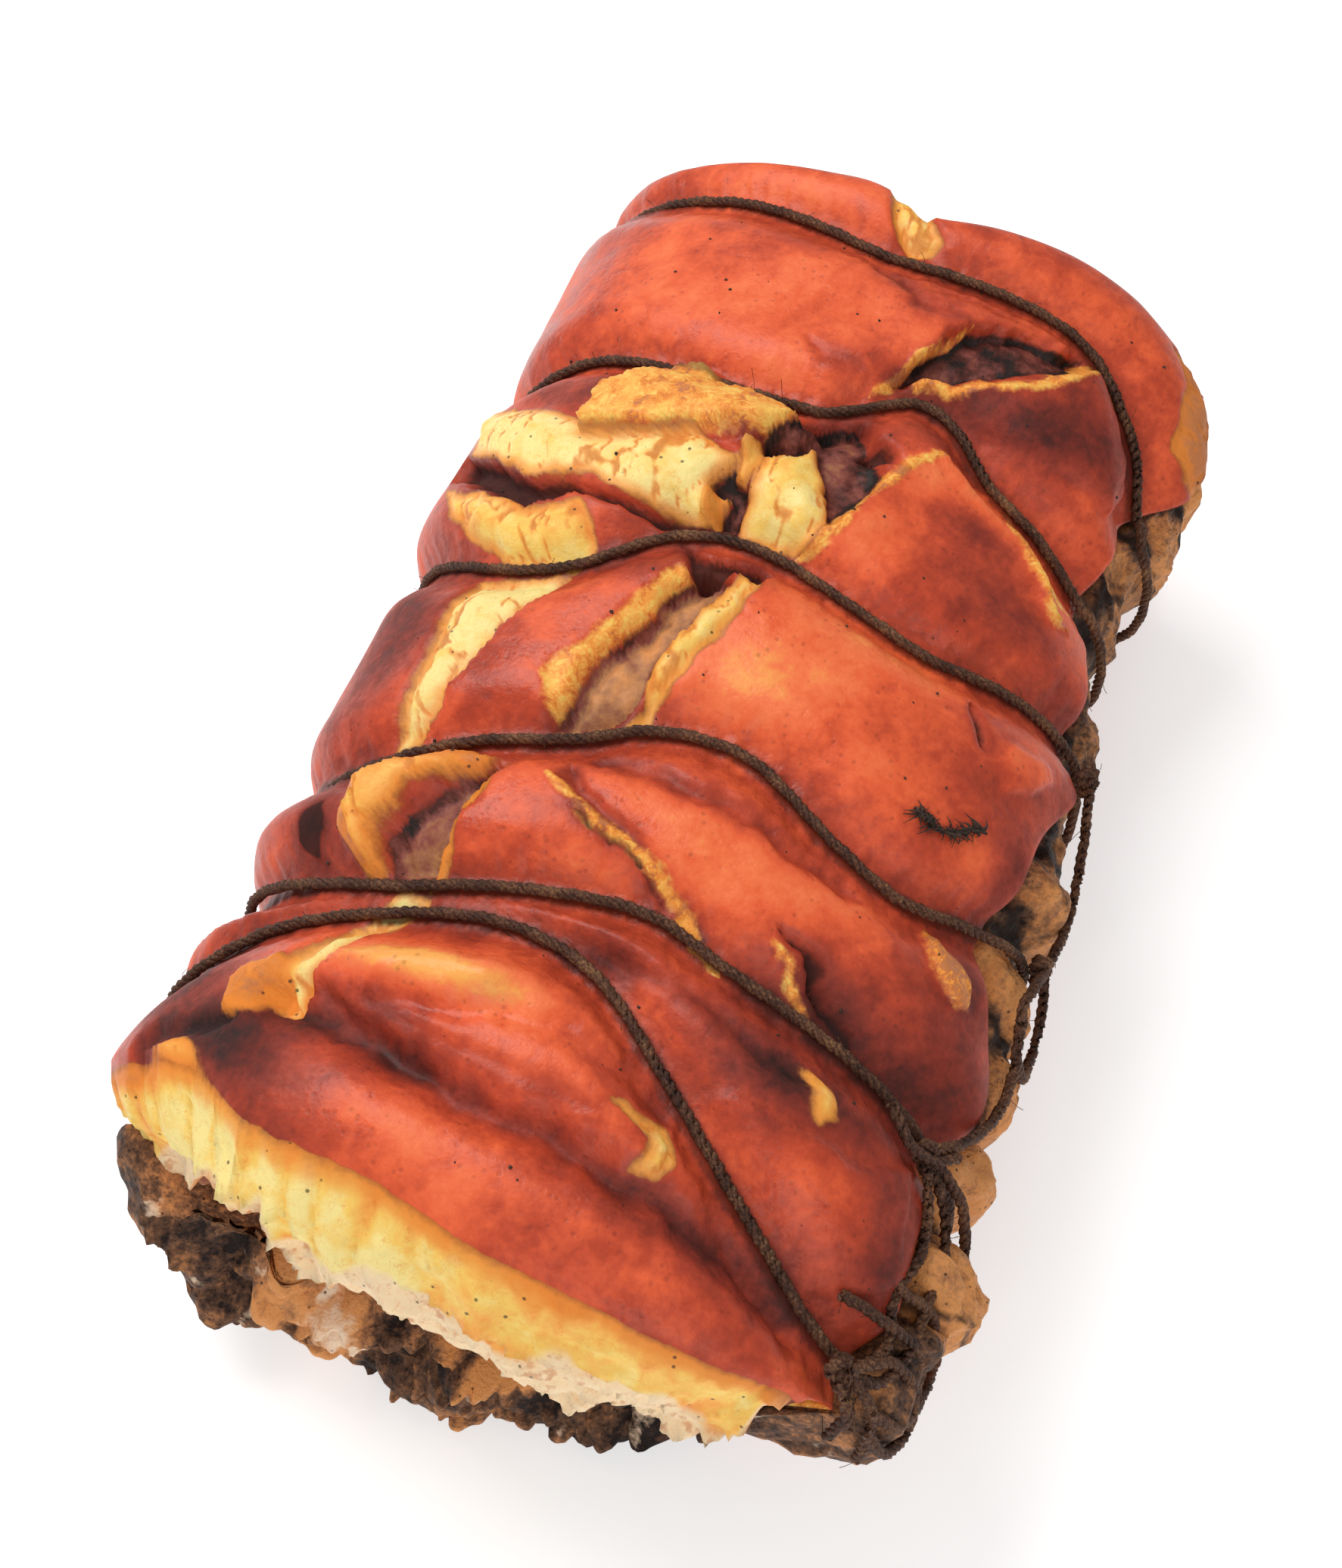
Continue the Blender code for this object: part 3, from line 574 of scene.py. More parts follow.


# The black of the crevice, the small hole and the hollow under the third tie is painted shade in them; the
# patch on the left flank is real charring.
PLACES: dict[str, Place] = {
    "brown strip": Place(Flesh.RIND, -1.6, 2.0, (
        (7, 130), (18, 132), (34, 131), (47, 131), (55, 129), (52, 124), (43, 121), (35, 118), (29, 116),
        (29, 121), (20, 121), (14, 121)), -0.10),
    "fat at the notch": Place(Flesh.FAT, -2.6, 2.5, (
        (-7, 172), (-5, 158), (-3, 151), (1, 146), (7, 142), (11, 144), (14, 148), (10, 152), (6, 157),
        (4, 172)), shade=0.35),
    "charred gash": Place(Flesh.MEAT, -7.0, 3.5, (
        (17, 94), (23, 104), (25, 114), (32, 119), (44, 124), (55, 126), (66, 130), (66, 126), (58, 116),
        (49, 110), (40, 104), (34, 101), (26, 99)), shade=0.20),
    "lifted flap": Place(Flesh.RIND, 2.6, 3.0, (
        (18, 90), (22, 95), (27, 97), (31, 96), (44, 101), (52, 107), (60, 117), (63, 124), (70, 130),
        (73, 128), (78, 119), (87, 109), (94, 99), (90, 86), (60, 89), (30, 87)), -0.06),
    "far tan lobe": Place(Flesh.FAT, -1.0, 3.0, (
        (84, 151), (93, 152), (105, 143), (117, 142), (119, 136), (104, 114), (96, 117), (90, 123),
        (91, 142)), shade=1.15),
    "upper strip": Place(Flesh.RIND, 0.0, 3.0, (
        (-90, 74), (-80, 78), (-62, 82), (-48, 79), (-42, 77), (-47, 73), (-54, 66), (-55, 57), (-65, 59),
        (-79, 64), (-88, 68)), -0.1),
    "bright fat": Place(Flesh.FAT, 0.4, 2.2, (
        (-109, 71), (-97, 67), (-85, 63), (-71, 59), (-57, 54), (-47, 52), (-27, 54), (-18, 51), (-12, 49),
        (-12, 43), (-13, 38), (-15, 31), (-21, 28), (-29, 29), (-36, 31), (-45, 34), (-57, 35), (-67, 35),
        (-79, 39), (-98, 50)), shade=0.12),
    "golden curl": Place(Flesh.GOLD, 7.0, 3.2, (
        (-56, 50), (-53, 56), (-55, 63), (-48, 69), (-41, 78), (-34, 81), (-28, 76), (-15, 74), (-9, 71),
        (-3, 67), (4, 66), (-1, 60), (-15, 56), (-27, 53), (-40, 50), (-51, 49)), over=True),
    "crevice": Place(Flesh.CHAR, -6.5, 3.0, (
        (-106, 53), (-96, 47), (-82, 39), (-66, 33), (-58, 34), (-47, 32), (-35, 29), (-22, 28), (-13, 32),
        (-13, 28), (-24, 25), (-38, 27), (-52, 31), (-58, 27), (-66, 25), (-76, 29), (-88, 35), (-106, 44))),
    "lower bare fat": Place(Flesh.FAT, -0.4, 2.5, (
        (-103, 38), (-86, 32), (-73, 27), (-62, 23), (-55, 25), (-49, 28), (-43, 20), (-42, 10), (-46, 6),
        (-55, 6), (-67, 7), (-80, 14), (-92, 24)), shade=0.38),
    "meat beside the fat": Place(Flesh.MEAT, -6.5, 3.0, (
        (-16, 38), (-13, 48), (-8, 57), (-4, 64), (6, 75), (15, 79), (19, 68), (24, 58), (21, 46), (16, 36),
        (12, 29), (0, 29), (-14, 30)), shade=0.28),
    "small fat lobe": Place(Flesh.FAT, 5.0, 2.5, (
        (-13, 53), (-8, 56), (-6, 52), (-8, 42), (-12, 43)), shade=0.4),
    "small low lobe": Place(Flesh.FAT, 4.5, 2.0, ((-19, 31), (-16, 38), (-12, 37), (-12, 31)), shade=0.6),
    "fat lobe": Place(Flesh.FAT, 5.6, 3.5, (
        (-6, 52), (0, 58), (5, 62), (8, 56), (12, 48), (16, 37), (14, 30), (7, 28), (-2, 29), (-6, 29),
        (-6, 36), (-7, 44)), shade=0.25),
    "long strip": Place(Flesh.RIND, 1.0, 2.5, (
        (14, 77), (20, 84), (32, 84), (43, 80), (51, 76), (49, 73), (39, 72), (31, 69), (26, 67), (18, 68)),
        -0.02),
    "small hole": Place(Flesh.CHAR, -5.0, 1.6, ((17, 66), (20, 69), (25, 67), (27, 64), (22, 63))),
    "fat stripe": Place(Flesh.FAT, -2.2, 1.8, (
        (-76, 2), (-62, 4), (-46, 5), (-47, -3), (-52, -16), (-58, -31), (-63, -43), (-70, -54), (-78, -57),
        (-75, -52), (-73, -39), (-73, -20), (-75, -6)), shade=0.1),
    "bevel": Place(Flesh.GOLD, -1.5, 3.0, (
        (-8, 13), (-16, 11), (-23, -5), (-31, -19), (-36, -29), (-34, -37), (-30, -39), (-28, -37),
        (-27, -33), (-25, -28), (-22, -19), (-17, -9), (-13, 1), (-7, 9)), shade=0.1),
    "torn gap": Place(Flesh.MEAT, -7.0, 3.0, (
        (-9, 15), (-1, 12), (-4, 2), (-8, -7), (-11, -19), (-11, -26), (-16, -38), (-22, -42), (-31, -43),
        (-31, -36), (-28, -26), (-25, -17), (-20, -7), (-16, 2), (-12, 9)), shade=0.66),
    "pale fat edge": Place(Flesh.FAT, -0.8, 2.0, (
        (3, 20), (0, 10), (-4, 0), (-10, -10), (-11, -22), (-9, -29), (-13, -38), (-8, -37), (-3, -24),
        (0, -15), (4, -3), (6, 7), (7, 18)), shade=0.3),
    "tan patch": Place(None, 1.6, 3.0, ((76, -6), (79, 1), (86, 3), (91, 1), (90, -7), (83, -12)), 0.20),
    "lower brown gap": Place(Flesh.MEAT, -6.0, 3.0, (
        (-35, -57), (-37, -61), (-40, -70), (-42, -80), (-44, -91), (-56, -91), (-59, -82), (-55, -74),
        (-49, -67), (-42, -60)), shade=0.42),
    "curled fat": Place(Flesh.FAT, 3.0, 2.5, (
        (-66, -90), (-71, -80), (-71, -70), (-68, -62), (-60, -57), (-48, -54), (-36, -56), (-40, -60),
        (-47, -63), (-53, -67), (-56, -74), (-60, -80), (-58, -89), (-62, -93)), shade=0.95),
    "fold of the curl": Place(Flesh.FAT, 1.6, 1.6, (
        (-62, -88), (-66, -78), (-64, -69), (-58, -63), (-48, -60), (-40, -60), (-48, -64), (-54, -68),
        (-57, -75), (-60, -82), (-59, -88)), shade=0.50),
    "fat beside the gap": Place(Flesh.FAT, -1.0, 1.6, (
        (-33, -56), (-35, -67), (-39, -78), (-40, -90), (-44, -92), (-42, -79), (-39, -68), (-36, -59)),
        shade=0.7),
    "fat under the tie": Place(Flesh.FAT, -1.0, 1.8, (
        (-52, -92), (-41, -93), (-48, -106), (-59, -106)), shade=0.1),
    "near fat stripe": Place(Flesh.FAT, -2.2, 1.6, (
        (-49, -104), (-61, -105), (-63, -116), (-65, -125), (-63, -132), (-57, -132), (-56, -123),
        (-52, -113)), shade=0.15),
    "blister": Place(Flesh.GOLD, 2.8, 2.5, (
        (80, -58), (84, -55), (90, -58), (93, -63), (92, -68), (87, -70), (82, -65)), 0.1, shade=0.85),
    "small fat bit": Place(Flesh.FAT, 0.8, 2.0, (
        (59, -105), (67, -107), (69, -113), (65, -116), (62, -110)), shade=0.3),
    "near plate": Place(Flesh.RIND, 2.0, 3.0, (
        (39, -123), (46, -119), (57, -118), (71, -120), (82, -118), (91, -113), (96, -127), (98, -136),
        (94, -140), (87, -145), (76, -149), (66, -144), (54, -134), (44, -127))),
    "pale gash": Place(Flesh.FAT, -1.2, 2.0, (
        (21, -130), (26, -128), (32, -129), (38, -130), (41, -134), (42, -139), (40, -143), (34, -142),
        (35, -138), (34, -134), (28, -131)), shade=0.28),
    "bright swelling": Place(None, 4.0, 10.0, (
        (-48, -116), (-30, -110), (-3, -110), (-10, -118), (-36, -122))),
    "left fat lump": Place(Flesh.FAT, 1.0, 2.0, (
        (-71, -136), (-75, -128), (-71, -122), (-63, -118), (-62, -127), (-63, -135)), shade=0.95),
    "left end lobes": Place(Flesh.FAT, 1.0, 3.0, (
        (-106, -164), (-100, -154), (-90, -152), (-88, -145), (-78, -143), (-70, -148), (-64, -157),
        (-60, -168)), shade=0.6),
    "hollow under the third tie": Place(Flesh.CHAR, -5.0, 2.0, (
        (-19, 23), (-9, 18), (-1, 20), (8, 21), (6, 13), (1, 15), (-4, 13), (-8, 10), (-14, 14))),
    "left char": Place(Flesh.CHAR, 0.0, 3.0, ((-89, -84), (-87, -76), (-81, -73), (-78, -80), (-82, -88))),
}

# The dark tone of the folds, creases and wrinkles is painted shade in them, and so is the black of the slit,
# the split and the open crack.
LINES: dict[str, Line] = {
    "torn edge of the big plate": Line(Flesh.GOLD, 1.4, 1.5, (
        (31, 119), (29, 115), (24, 109), (20, 101), (16, 93), (11, 87))),
    "fold of the big plate": Line(None, -1.8, 3.0, ((-2, 134), (7, 128), (14, 121), (28, 120)), -0.25),
    "torn edge of the flap": Line(Flesh.GOLD, 1.8, 1.7, (
        (22, 95), (27, 97), (31, 96), (37, 98), (44, 101), (50, 106), (56, 113), (60, 117), (63, 124),
        (70, 130))),
    "side of the flap": Line(Flesh.GOLD, 0.6, 1.2, ((70, 130), (74, 128), (78, 119))),
    "fuzzy side": Line(None, 1.0, 5.0, (
        (38, 70), (33, 66), (30, 60), (27, 52), (24, 42), (21, 33), (16, 27)), 0.14),
    "golden side": Line(Flesh.GOLD, 1.0, 1.8, (
        (39, 73), (33, 70), (28, 62), (25, 56), (21, 48), (18, 39), (16, 31), (12, 28))),
    "crest": Line(None, 2.2, 3.0, ((37, 71), (49, 67), (61, 63), (68, 62), (77, 50), (84, 44)), 0.1),
    "torn crest": Line(Flesh.GOLD, 1.0, 1.2, ((60, 63), (66, 62), (70, 57), (77, 49), (83, 44), (91, 46))),
    "strip's edge": Line(Flesh.GOLD, 0.5, 0.9, ((60, 72), (68, 68), (76, 60), (84, 52), (92, 52))),
    "slit": Line(Flesh.CHAR, -2.6, 1.0, ((67, 6), (69, 2), (70, -2), (73, -7))),
    "crease of the plate": Line(None, -2.2, 2.4, (
        (-19, -52), (-12, -62), (-2, -66), (9, -71), (19, -78), (31, -84)), -0.3),
    "cracked lapped edge": Line(Flesh.GOLD, 1.7, 1.5, (
        (-22, -57), (-17, -61), (-8, -66), (0, -68), (12, -73), (22, -79), (30, -86), (37, -91))),
    "split in the lapped edge": Line(Flesh.CHAR, -1.2, 0.6, ((-12, -66), (-3, -69), (8, -73), (18, -79))),
    "open crack": Line(Flesh.CHAR, -3.6, 1.4, ((43, -74), (52, -78), (59, -84), (66, -89), (73, -94))),
    "lip of the crack": Line(Flesh.GOLD, 0.6, 0.8, ((42, -77), (50, -82), (56, -88), (62, -93))),
    "crease under the fourth tie": Line(None, -2.6, 2.8, (
        (-14, -48), (-1, -49), (12, -50), (28, -52), (39, -54), (51, -57), (60, -58)), -0.24),
    "upper near fold": Line(None, -2.4, 3.2, (
        (-2, -98), (13, -96), (27, -99), (40, -102), (52, -106), (62, -108)), -0.24),
    "deep fold": Line(None, -6.0, 6.0, (
        (-65, -128), (-55, -130), (-40, -133), (-26, -137), (-9, -141), (7, -142), (20, -143), (36, -146),
        (53, -149), (72, -152), (89, -156)), -0.07),
    "bottom of the fold": Line(None, -0.8, 1.7, (
        (-56, -131), (-35, -135), (-19, -138), (-2, -140), (13, -142), (29, -145), (44, -147),
        (62, -150)), -0.22),
    "branch of the fold": Line(None, -1.6, 2.4, ((-53, -124), (-43, -129), (-29, -134), (-15, -138)), -0.04),
    "shoulder of the fold": Line(None, -2.0, 3.0, (
        (-38, -125), (-25, -123), (-10, -120), (8, -119), (24, -122), (38, -128)), -0.14),
    "wrinkle": Line(None, -0.9, 1.6, ((-30, -128), (-14, -131), (4, -131), (20, -134)), -0.08),
    "wrinkle of the plate": Line(None, -1.0, 2.0, ((-10, 96), (-4, 92), (2, 91), (8, 93)), -0.15),
    "left fold": Line(None, -2.6, 2.6, ((-98, -148), (-90, -141), (-76, -139), (-66, -136)), -0.25),
    "band fold": Line(None, -1.6, 2.4, ((-92, -66), (-84, -62), (-76, -66), (-70, -72)), -0.1),
}


@dataclass(frozen=True)
class Blush:
    """A soft spot where the rind is browner or brighter."""

    q: float
    y: float
    around: float
    along: float
    amount: float


# Some blushes paint light and shade: the bright ones at (-25, 108), (-26, -115) and (-20, -150) are painted
# highlights on the big top plate, the near swelling and the wet near plate, and the dark one at (56, -152) is
# painted shade at the end of the deep fold.
BLUSHES: tuple[Blush, ...] = tuple(Blush(*row) for row in (
    (-25, 108, 38, 16, 0.20), (-8, 118, 24, 12, 0.06), (-70, 112, 20, 26, 0.10), (8, 100, 14, 12, -0.12),
    (50, 145, 22, 9, 0.06), (-40, 158, 34, 6, 0.20), (-14, 86, 18, 7, 0.20), (60, 88, 20, 9, -0.08),
    (54, 54, 12, 7, -0.22), (60, 42, 14, 9, -0.12), (95, 26, 10, 12, -0.22), (14, -16, 18, 13, 0.26),
    (88, -8, 10, 9, -0.18), (82, -30, 10, 9, 0.22), (96, -62, 9, 10, -0.34), (76, -88, 16, 8, -0.22),
    (60, -80, 14, 8, -0.14), (18, -74, 22, 11, 0.24), (30, -70, 12, 8, 0.14), (84, -3, 9, 6, 0.08),
    (84, 58, 14, 10, 0.24), (54, 68, 10, 6, 0.22), (38, 10, 26, 7, 0.16), (36, 112, 20, 10, 0.10),
    (-60, -55, 14, 14, 0.16), (82, 138, 10, 12, 0.08), (-75, 150, 14, 14, -0.02), (32, 126, 22, 6, 0.16),
    (40, 94, 16, 7, -0.22), (62, 100, 18, 14, -0.26), (84, 96, 12, 14, -0.04), (-70, 68, 22, 7, -0.12),
    (42, 52, 16, 14, 0.02), (50, 56, 14, 6, -0.16), (66, 40, 16, 10, -0.10), (78, 34, 14, 10, -0.08),
    (34, 62, 8, 6, 0.20), (30, 40, 10, 10, 0.14), (-92, -16, 18, 30, -0.34), (-38, -10, 14, 16, 0.10),
    (-30, 12, 16, 8, -0.14), (-34, -30, 12, 12, 0.10), (20, -2, 20, 16, 0.30), (48, 2, 18, 12, 0.18),
    (40, -24, 26, 10, 0.14), (84, -24, 16, 14, -0.10), (96, -30, 9, 12, -0.40), (8, -24, 12, 9, 0.02),
    (-84, -78, 16, 18, -0.24), (-30, -66, 10, 12, 0.16), (-20, -78, 14, 10, 0.04), (0, -56, 18, 7, 0.20),
    (40, -62, 24, 9, 0.20), (16, -60, 16, 8, 0.20), (70, -76, 20, 12, -0.06), (92, -88, 12, 14, -0.34),
    (60, -96, 20, 7, -0.16), (8, -90, 30, 6, -0.04), (-30, -100, 16, 6, -0.10), (20, -108, 20, 7, -0.04),
    (74, -130, 18, 11, 0.20), (-26, -115, 26, 6, 0.74), (0, -122, 24, 8, 0.24), (-40, -126, 16, 6, -0.14),
    (-62, -134, 12, 9, -0.40), (30, -136, 14, 8, 0.12), (-20, -150, 26, 7, 0.20), (10, -156, 24, 7, 0.04),
    (64, -158, 20, 8, -0.14), (-44, -148, 14, 8, -0.18), (-90, -126, 16, 14, -0.32),
    (-74, -142, 12, 8, -0.26), (62, -111, 26, 8, -0.34), (90, -132, 13, 18, -0.42),
    (56, -152, 26, 5, -0.20), (102, 4, 8, 12, -0.30), (-60, -146, 14, 8, -0.34),
    (-42, -158, 16, 5, -0.14), (50, 67, 12, 6, 0.14), (52, 9, 12, 6, 0.16), (39, 102, 10, 9, 0.14),
    (74, 60, 14, 6, 0.12), (8, -104, 24, 5, 0.10), (30, 78, 14, 6, -0.22), (60, 92, 14, 8, -0.12),
))


@dataclass(frozen=True)
class Bulge:
    """A broad swelling of the roll."""

    angle: float
    y: float
    around: float
    along: float
    rise: float


BULGES: tuple[Bulge, ...] = (
    Bulge(-80, -70, 20, 34, 4.0), Bulge(-82, -118, 18, 16, 5.0), Bulge(-84, -150, 20, 12, 4.5),
    Bulge(-76, 152, 14, 9, 4.5), Bulge(-80, 30, 14, 14, 2.0),
)


@dataclass
class Relief:
    """The outside surface at many points: its height and what shows there."""

    angle: Array
    y: Array
    wander: float = 2.0
    last_seen: float = 104.0
    far_outside: float = 9.0
    plain_meat: float = 0.15
    plain_fat: float = 0.3
    pucker: float = 0.75
    fat_swell: float = 2.6
    crease_width: float = 0.10

    def lay(self, flat: Array, ragged: Array) -> tuple[dict[Flesh, Array], dict[str, Array]]:
        """Lays the torn places, the lines and the patches of tone on the plain rind.

        Args:
            flat: Rows of the way round, the station and 0.
            ragged: How torn edges wander.

        Returns:
            Signed distances for each flesh but the rind, and the sums "height", "laid" (over the
            twine), "tone", "fatty" and "toast".
        """
        q = flat[:, 0]
        y = flat[:, 1]
        qr = q + self.wander * ragged
        yr = y + self.wander * GRAIN.rough(flat + 131.0, 9.0, 4)
        uneven = 1.0 + 0.7 * GRAIN.rough(flat + 270.0, 11.0, 3)
        masks = {flesh: np.full(len(q), -self.far_outside) for flesh in Flesh if flesh is not Flesh.RIND}
        sums = {key: np.zeros(len(q)) for key in ("height", "laid", "tone")}
        sums["fatty"] = np.full(len(q), self.plain_meat)
        sums["toast"] = np.full(len(q), self.plain_fat)
        shaded = {Flesh.MEAT: sums["fatty"], Flesh.FAT: sums["toast"], Flesh.GOLD: sums["toast"]}
        for place in PLACES.values():
            inside = place.depth_inside(qr, yr)
            sums["laid" if place.over else "height"] += place.rise * eased(inside / place.softness + 0.5)
            sums["tone"] += place.tone * eased(inside / 4.0 + 0.5)
            if place.flesh is not None:
                self.paint(masks, place.flesh, inside)
            if place.flesh in shaded:
                shade = shaded[place.flesh]
                shade += (place.shade - shade) * eased(inside / 3.0 + 0.5)
        for line in LINES.values():
            off = line.away(qr, yr)
            sums["height"] += line.rise * bell(off / line.width)
            # A fold's or crease's negative tone is painted shade.
            sums["tone"] += line.tone * bell(off / (line.width + 1.5))
            if line.flesh is not None:
                self.paint(masks, line.flesh, 0.8 * line.width * uneven - off)
        for blush in BLUSHES:
            off = np.hypot((q - blush.q) / blush.around, (y - blush.y) / blush.along)
            sums["tone"] += blush.amount * bell(off)
        return masks, sums

    def measure(self) -> dict[str, Array]:
        """Works out height and masks.

        Returns:
            "height" over the form, signed distances for each flesh but the rind, the distance to
            the nearest twine, the rind's tone with the painted shade of its folds and creases and its
            painted highlights, how fatty bared meat is with painted shade at the walls of its gaps, how
            toasted bared fat is and how creased, one number for each point.
        """
        q = FORM.girth(self.angle)
        y = self.y
        level = np.zeros(len(q))
        flat = np.stack((q, y, level), -1)
        ragged = GRAIN.rough(flat, 9.0, 4)
        masks, sums = self.lay(flat, ragged)
        seen = eased((self.last_seen - np.abs(wrapped(self.angle))) / 10.0)
        away = FORM.from_twine(self.angle, y)
        clear = eased((away - FORM.groove_half_width) / 4.0)
        height = sums["height"] * seen * clear + sums["laid"]
        puckered = GRAIN.rough(np.stack((q / 2.4, y / 9.0, level), -1), 1.6, 2)
        height += self.pucker * puckered * bell((away - 5.0) / 6.0)
        form = FORM.outside(self.angle, y, level)
        height += 0.8 * GRAIN.rough(form, 26.0, 2)
        for bulge in BULGES:
            around = bell((wrapped(self.angle) - bulge.angle) / bulge.around)
            height += bulge.rise * around * bell((y - bulge.y) / bulge.along)
        fat = masks[Flesh.FAT]
        meat = masks[Flesh.MEAT]
        bare = eased(np.maximum(fat, np.maximum(meat, masks[Flesh.GOLD])) / 1.5)
        drawn = np.stack((q, y / 2.2, level), -1) + 2.0 * ragged[:, None]
        crease = bell(GRAIN.rough(drawn + 500.0, 9.0, 2) / self.crease_width) * bare
        lumps = 0.5 * GRAIN.rough(form, 5.0, 3) + 1.3 * GRAIN.rough(form + 90.0, 14.0, 2)
        height += bare * lumps
        height += clear * seen * (self.fat_swell * eased(fat / 8.0) - 0.5 * crease)
        mottling = 0.26 * GRAIN.rough(flat + 640.0, 8.0, 3)
        # Meat darker just inside the edges of its gaps: painted shade on their walls.
        fatty = sums["fatty"] + (mottling - 0.24 * eased((3.0 - meat) / 2.6))
        return {
            "height": FORM.plain_offset(self.angle, y, away) + height,
            "fat": fat, "meat": meat, "gold": masks[Flesh.GOLD], "char": masks[Flesh.CHAR],
            "twine": away, "tone": sums["tone"], "fatty": fatty, "toast": sums["toast"], "crease": crease,
        }

    def paint(self, masks: dict[Flesh, Array], flesh: Flesh, inside: Array) -> None:
        """Lays one flesh over what was there.

        Args:
            masks: Signed distances so far, changed in place.
            flesh: What is laid down.
            inside: Distance inside its edge.
        """
        for other in masks:
            if other is not flesh:
                masks[other] = np.minimum(masks[other], -inside)
        if flesh in masks:
            masks[flesh] = np.maximum(masks[flesh], inside)


@dataclass(frozen=True)
class Chunk:
    """A lump or a hole in the meat of the near cut, at a width x and a height z; holes and grooves are
    darkened with painted shade.
    """

    x: float
    z: float
    wide: float
    high: float
    out: float
    fatty: float = 0.0
    pale: float = 0.0
    cave: float = 0.0


# The groove beside the chunk, the dark streak, the cavity and the two shadows sink in and are darkened with
# painted shade, and the right side is darkened with painted shade as well.
CHUNKS: dict[str, Chunk] = {
    "big dark lobe": Chunk(-72, 58, 20, 24, 8.0, -0.02),
    "low dark lobe": Chunk(-66, 14, 20, 14, 4.0, -0.10),
    "crust under the left lobes": Chunk(-88, 86, 12, 8, 2.5, 0.30),
    "tan chunk": Chunk(-47, 42, 9, 13, 6.5, 0.55),
    "groove beside the chunk": Chunk(-58, 40, 4, 16, -4.0, -0.2, 0.0, 0.4),
    "white fat": Chunk(-31, 31, 8, 11, 2.5, 0.6, 0.62),
    "low tan fat": Chunk(-38, 13, 8, 9, 3.5, 0.5),
    "brown slab": Chunk(-8, 12, 20, 10, 4.0, 0.14),
    "dark streak": Chunk(-22, 12, 4, 12, -3.0, -0.4, 0.0, 0.3),
    "golden ridge, left": Chunk(-1, 37, 7, 3.4, 4.0, 0.8),
    "golden ridge, middle": Chunk(9, 29, 8, 3.4, 5.0, 0.9),
    "golden ridge, right": Chunk(22, 31, 8, 5.0, 6.0, 0.95),
    "cavity": Chunk(14, 40, 9, 4.5, -9.0, -0.6, 0.0, 1.0),
    "right side in painted shade": Chunk(50, 22, 36, 18, 2.0, -0.34),
    "brown bulge": Chunk(30, 16, 9, 8, 3.0, 0.1),
    "shadow under the fat": Chunk(44, 42, 26, 6, -5.0, -0.4, 0.0, 0.4),
    "shadow under the middle": Chunk(-40, 66, 10, 6, -4.0, -0.2, 0.0, 0.3),
}


class NearCut:
    """The rough face of the roast's near end."""


    def measure(self, points: Array) -> dict[str, Array]:
        """Lumps and flesh of the meat at some points of the face.

        Args:
            points: Rows of x, y, z.

        Returns:
            "out" in millimetres, "fatty", "pale" and "cave" from 0 to 1; the last is the black of painted
            shade in the hollows.
        """
        flat = points * (1.0, 0.0, 1.0) + (0.0, 40.0, 0.0)
        x = points[:, 0] + 4.0 * GRAIN.rough(flat + 60.0, 14.0, 3)
        z = points[:, 2] + 4.0 * GRAIN.rough(flat + 90.0, 14.0, 3)
        lump = GRAIN.rough(flat, 17.0, 2)
        torn = GRAIN.rough(flat + 30.0, 8.0, 2)
        shred = GRAIN.rough(flat * (1.0, 1.0, 0.6) + 850.0, 3.6, 1)
        found = {"out": 5.4 * lump + 3.4 * torn + 1.3 * shred - 2.4 * bell(torn / 0.16),
                 "fatty": 0.33 + 0.26 * GRAIN.rough(flat + 300.0, 12.0, 3) + 0.26 * torn + 0.16 * shred,
                 "pale": 0.5 * eased((GRAIN.rough(flat + 700.0, 9.0, 3) - 0.34) / 0.2),
                 # Black where the lumps and tears sink in: painted shade in the hollows.
                 "cave": np.clip(-0.7 * lump - 0.2, 0.0, 1.0) + np.clip(-0.9 * torn - 0.25, 0.0, 1.0)}
        for chunk in CHUNKS.values():
            share = bell(np.hypot((x - chunk.x) / chunk.wide, (z - chunk.z) / chunk.high) ** 1.5)
            found["out"] += chunk.out * share
            found["fatty"] += chunk.fatty * share
            found["pale"] += chunk.pale * share
            found["cave"] += chunk.cave * share
        found["fatty"] -= 0.32 * eased((10.0 - points[:, 2]) / 9.0)
        return {key: values if key == "out" else np.clip(values, 0.0, 1.0) for key, values in found.items()}


# Meshes


def add_mesh(name: str, points: Array, faces: Sequence[Sequence[int]],
             layers: dict[str, Array] | None = None) -> bpy.types.Object:
    """Adds a smooth mesh object.

    Args:
        name: Its name.
        points: Rows of x, y, z in millimetres of the layout.
        faces: Corner numbers of each face.
        layers: Numbers for each point, kept under their names.

    Returns:
        The new object.
    """
    mesh = bpy.data.meshes.new(name)
    mesh.from_pydata(((points + SHIFT_MM) * MM).tolist(), [], [tuple(face) for face in faces])
    for key, values in (layers or {}).items():
        mesh.attributes.new(key, "FLOAT", "POINT").data.foreach_set("value", values.astype(np.float32))
    mesh.shade_smooth()
    mesh.validate()
    made = bpy.data.objects.new(name, mesh)
    bpy.context.scene.collection.objects.link(made)
    return made


def strip_faces(rows: Array) -> list[tuple[int, int, int, int]]:
    """Quads over a grid of vertex numbers.

    Args:
        rows: Vertex numbers, one row for each column of the sheet.

    Returns:
        Corner numbers of each quad.
    """
    a = rows[:-1, :-1].ravel()
    b = rows[:-1, 1:].ravel()
    c = rows[1:, 1:].ravel()
    d = rows[1:, :-1].ravel()
    return np.stack((a, b, c, d), -1).tolist()


